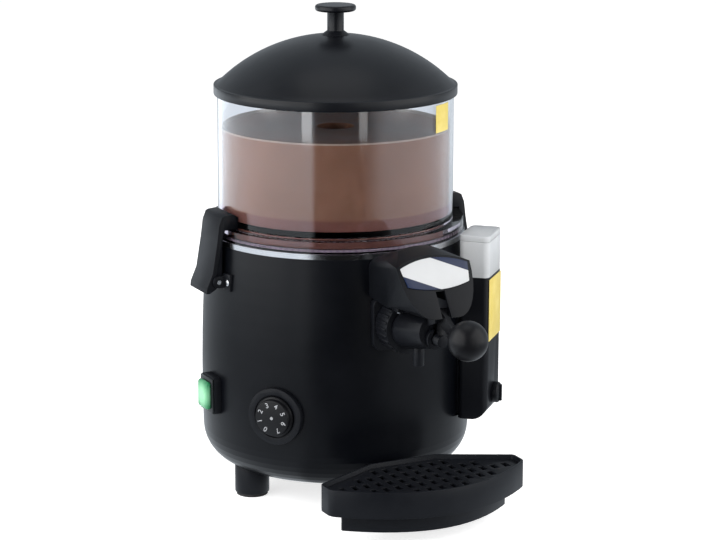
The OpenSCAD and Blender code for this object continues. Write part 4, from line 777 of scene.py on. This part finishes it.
# How far a node reaches along an axis from a point, and how wide it is round that axis
def reach(node, point, axis):
    rows = [v.co - point for v in nodes[node].data.vertices]
    along = [row.dot(axis) for row in rows]
    wide = max((row - axis * row.dot(axis)).length for row in rows)
    return min(along), max(along), wide


dial_point = Vector(joint_of("dial_turn")["pos_m"])
dial_axis = Vector(joint_of("dial_turn")["axis"]).normalized()
dial_place = Matrix.Translation(dial_point) @ dial_axis.to_track_quat("Z", "Y").to_matrix().to_4x4()
dial_low, dial_high, dial_skirt = reach("dial_knob", dial_point, dial_axis)
figure_rise = 0.0002
dial_face = dial_high - figure_rise
skirt_t = 0.0032
skirt_round = 0.0008
grip_r = dial_skirt - 0.0018
grip_root = 0.0004
rim_round = 0.0004
rim_w, rim_h = 0.0014, 0.0012
dial_profile = [
    (0, dial_low), (dial_skirt - skirt_round, dial_low), (dial_skirt, dial_low + skirt_round),
    (dial_skirt, dial_low + skirt_t - skirt_round), (dial_skirt - skirt_round, dial_low + skirt_t),
    (grip_r + grip_root, dial_low + skirt_t + grip_root), (grip_r, dial_face - rim_h),
    (grip_r - rim_round, dial_face - rim_round), (grip_r - rim_w, dial_face), (0, dial_face),
]
fit_node(turned("dial_grip", dial_profile, place=dial_place), "dial_knob", ball_look)
eased("dial_bezel", "dial_ring", black_moulding, radius=0.0006)
figure_ink = grained(
    "figure_ink", (0.42, 0.43, 0.45), (0.30, 0.31, 0.33), roughness=(0.5, 0.6), grain=2000
)
figure_ring = 0.0125
figure_size = 0.0068
figure_count = 8
figure_sweep = 300
figure_bold = 0.00008
figures = []
for i in range(figure_count):
    deselect()
    bpy.ops.object.text_add()
    figure = bpy.context.object
    figure.data.body = str(i)
    figure.data.size = figure_size
    figure.data.align_x = "CENTER"
    figure.data.align_y = "CENTER"
    figure.data.extrude = figure_rise
    figure.data.offset = figure_bold
    bpy.ops.object.convert(target="MESH")
    turn = math.radians(-figure_sweep / 2 + figure_sweep * i / (figure_count - 1))
    spot = Vector((math.sin(turn) * figure_ring, math.cos(turn) * figure_ring, dial_face - figure_rise / 2))
    figure.data.transform(dial_place @ Matrix.Translation(spot) @ Matrix.Rotation(-turn, 4, "Z"))
    figures.append(figure)
dot_r = 0.0015
dot_low, dot_high = dial_face - figure_rise, dial_face + figure_rise * 0.4
dot_profile = [(0, dot_low), (dot_r, dot_low), (dot_r, dot_high), (0, dot_high)]
figures.append(turned("dial_dot", dot_profile, steps=24, place=dial_place))
pick(*figures)
bpy.ops.object.join()
figures[0].name = "dial_figures"
figures[0].data.materials.clear()
carried(figures[0], figure_ink, "dial_body")

# ---- Cord gland -------------------------------------------------------------
# A moulded gland low on the back, clamped through the drum's wall.
# The mains cord would leave through it.
eased("cord_gland", "mains_gland", black_moulding, radius=0.0004)

# ---- Switch -----------------------------------------------------------------
# A green lit rocker in a black frame, under a domed splash cover. The cover carries a painted glow of the
# lamp beneath, and a painted highlight makes it palest in its middle.
# The cover's rim is black and is clamped round the frame.
eased("switch_frame", "switch_surround", black_moulding, radius=0.0014)
green_look = grained(
    "green_rocker", (0.01, 0.36, 0.11), (0.01, 0.30, 0.09), roughness=(0.3, 0.4), shine=0.5
)
green_shader = shader_of(green_look)
green_shader.inputs["Emission Color"].default_value = (0.03, 0.75, 0.22, 1)
green_shader.inputs["Emission Strength"].default_value = 0.5
dress(green_look, "switch_rocker")
rocker = joint_of("switch_rock")
switch_point = Vector(rocker["pos_m"])
switch_out = Vector((switch_point.x - axis_x, switch_point.y - axis_y, 0)).normalized()
boot_low, boot_high = reach("switch_boot", switch_point, switch_out)[:2]
boot_left, boot_right = reach("switch_boot", switch_point, Vector(rocker["axis"]).normalized())[:2]
boot_foot, boot_head = reach("switch_boot", switch_point, Vector((0, 0, 1)))[:2]
boot_flange_t = 0.002
boot_flange_round = 0.0010
boot_inset = 0.0035
boot_dome_round = 0.0062
switch_place = Matrix.Translation(switch_point) @ switch_out.to_track_quat("Z", "Y").to_matrix().to_4x4()
domes = []
for inset, low, high, radius, segments in (
    (0, boot_low, boot_low + boot_flange_t, boot_flange_round, 2),
    (boot_inset, boot_low + boot_flange_t / 2, boot_high, boot_dome_round, 8),
):
    deselect()
    bpy.ops.mesh.primitive_cube_add(size=1)
    dome = bpy.context.object
    dome.data.transform(Matrix.Diagonal((
        boot_right - boot_left - 2 * inset, boot_head - boot_foot - 2 * inset, high - low, 1
    )))
    dome.data.transform(Matrix.Translation((0, 0, (low + high) / 2)))
    round_edges(dome, radius, segments)
    dome.data.transform(switch_place)
    domes.append(dome)
pick(*domes)
bpy.ops.object.join()
domes[0].name = "splash_cover"
boot_look = grained(
    "splash_cover", (0.006, 0.0075, 0.008), (0.009, 0.011, 0.012),
    roughness=(0.22, 0.30), grain=500, shine=0.3
)
boot_shader = shader_of(boot_look)
boot_tree = boot_look.node_tree
boot_edge_gap = 0.0002
boot_edge_blend = 0.0003
boot_edge = switch_point.dot(switch_out) + boot_low + boot_flange_t + boot_edge_gap
boot_place = boot_tree.nodes.new("ShaderNodeTexCoord")
boot_out = boot_tree.nodes.new("ShaderNodeVectorMath")
boot_out.operation = "DOT_PRODUCT"
boot_out.inputs[1].default_value = switch_out
boot_mask = boot_tree.nodes.new("ShaderNodeMapRange")
boot_mask.inputs["From Min"].default_value = boot_edge
boot_mask.inputs["From Max"].default_value = boot_edge + boot_edge_blend
# Painted glow and painted highlight: above its rim the dome is pale green near its top, fades to dark green,
# and emits that colour
boot_away = boot_tree.nodes.new("ShaderNodeVectorMath")
boot_away.operation = "DISTANCE"
boot_away.inputs[1].default_value = switch_point + switch_out * boot_high
boot_highlight_fade = boot_tree.nodes.new("ShaderNodeMapRange")
boot_highlight_fade.interpolation_type = "SMOOTHSTEP"
boot_highlight_fade.inputs["From Min"].default_value = 0.003
boot_highlight_fade.inputs["From Max"].default_value = 0.018
boot_lamp_and_highlight_tone = boot_tree.nodes.new("ShaderNodeMix")
boot_lamp_and_highlight_tone.data_type = "RGBA"
boot_lamp_and_highlight_tone.inputs["A"].default_value = (0.30, 0.66, 0.40, 1)
boot_lamp_and_highlight_tone.inputs["B"].default_value = (0.01, 0.16, 0.06, 1)
boot_tint = boot_tree.nodes.new("ShaderNodeMix")
boot_tint.data_type = "RGBA"
boot_painted_glow = boot_tree.nodes.new("ShaderNodeMix")
boot_painted_glow.data_type = "RGBA"
boot_painted_glow.inputs["A"].default_value = (0, 0, 0, 1)
boot_tree.links.new(boot_place.outputs["Object"], boot_out.inputs[0])
boot_tree.links.new(boot_place.outputs["Object"], boot_away.inputs[0])
boot_tree.links.new(boot_out.outputs["Value"], boot_mask.inputs["Value"])
boot_tree.links.new(boot_away.outputs["Value"], boot_highlight_fade.inputs["Value"])
boot_tree.links.new(boot_highlight_fade.outputs["Result"], boot_lamp_and_highlight_tone.inputs["Factor"])
boot_tree.links.new(boot_mask.outputs["Result"], boot_tint.inputs["Factor"])
boot_tree.links.new(boot_mask.outputs["Result"], boot_painted_glow.inputs["Factor"])
boot_tree.links.new(boot_shader.inputs["Base Color"].links[0].from_socket, boot_tint.inputs["A"])
boot_tree.links.new(boot_lamp_and_highlight_tone.outputs["Result"], boot_tint.inputs["B"])
boot_tree.links.new(boot_lamp_and_highlight_tone.outputs["Result"], boot_painted_glow.inputs["B"])
boot_tree.links.new(boot_tint.outputs["Result"], boot_shader.inputs["Base Color"])
boot_tree.links.new(boot_painted_glow.outputs["Result"], boot_shader.inputs["Emission Color"])
boot_shader.inputs["Emission Strength"].default_value = 0.25
fit_node(domes[0], "switch_boot", boot_look)

# ---- Drip tray --------------------------------------------------------------
# A bow-fronted moulded tray with a lift-out grate that lets the drips through.
# It sits on a holder that is screwed under the drum.
tray_look = grained(
    "tray_moulding", (0.0058, 0.0068, 0.0095), (0.0086, 0.0098, 0.0130),
    roughness=(0.36, 0.46), grain=1500, depth=0.00006
)
eased("drip_tray", "tray_basin", tray_look, radius=0.0012)
eased("tray_holder", "tray_bracket", tray_look, radius=0.0012)
eased("tray_grate", "tray_grille", black_moulding, radius=0.0005)
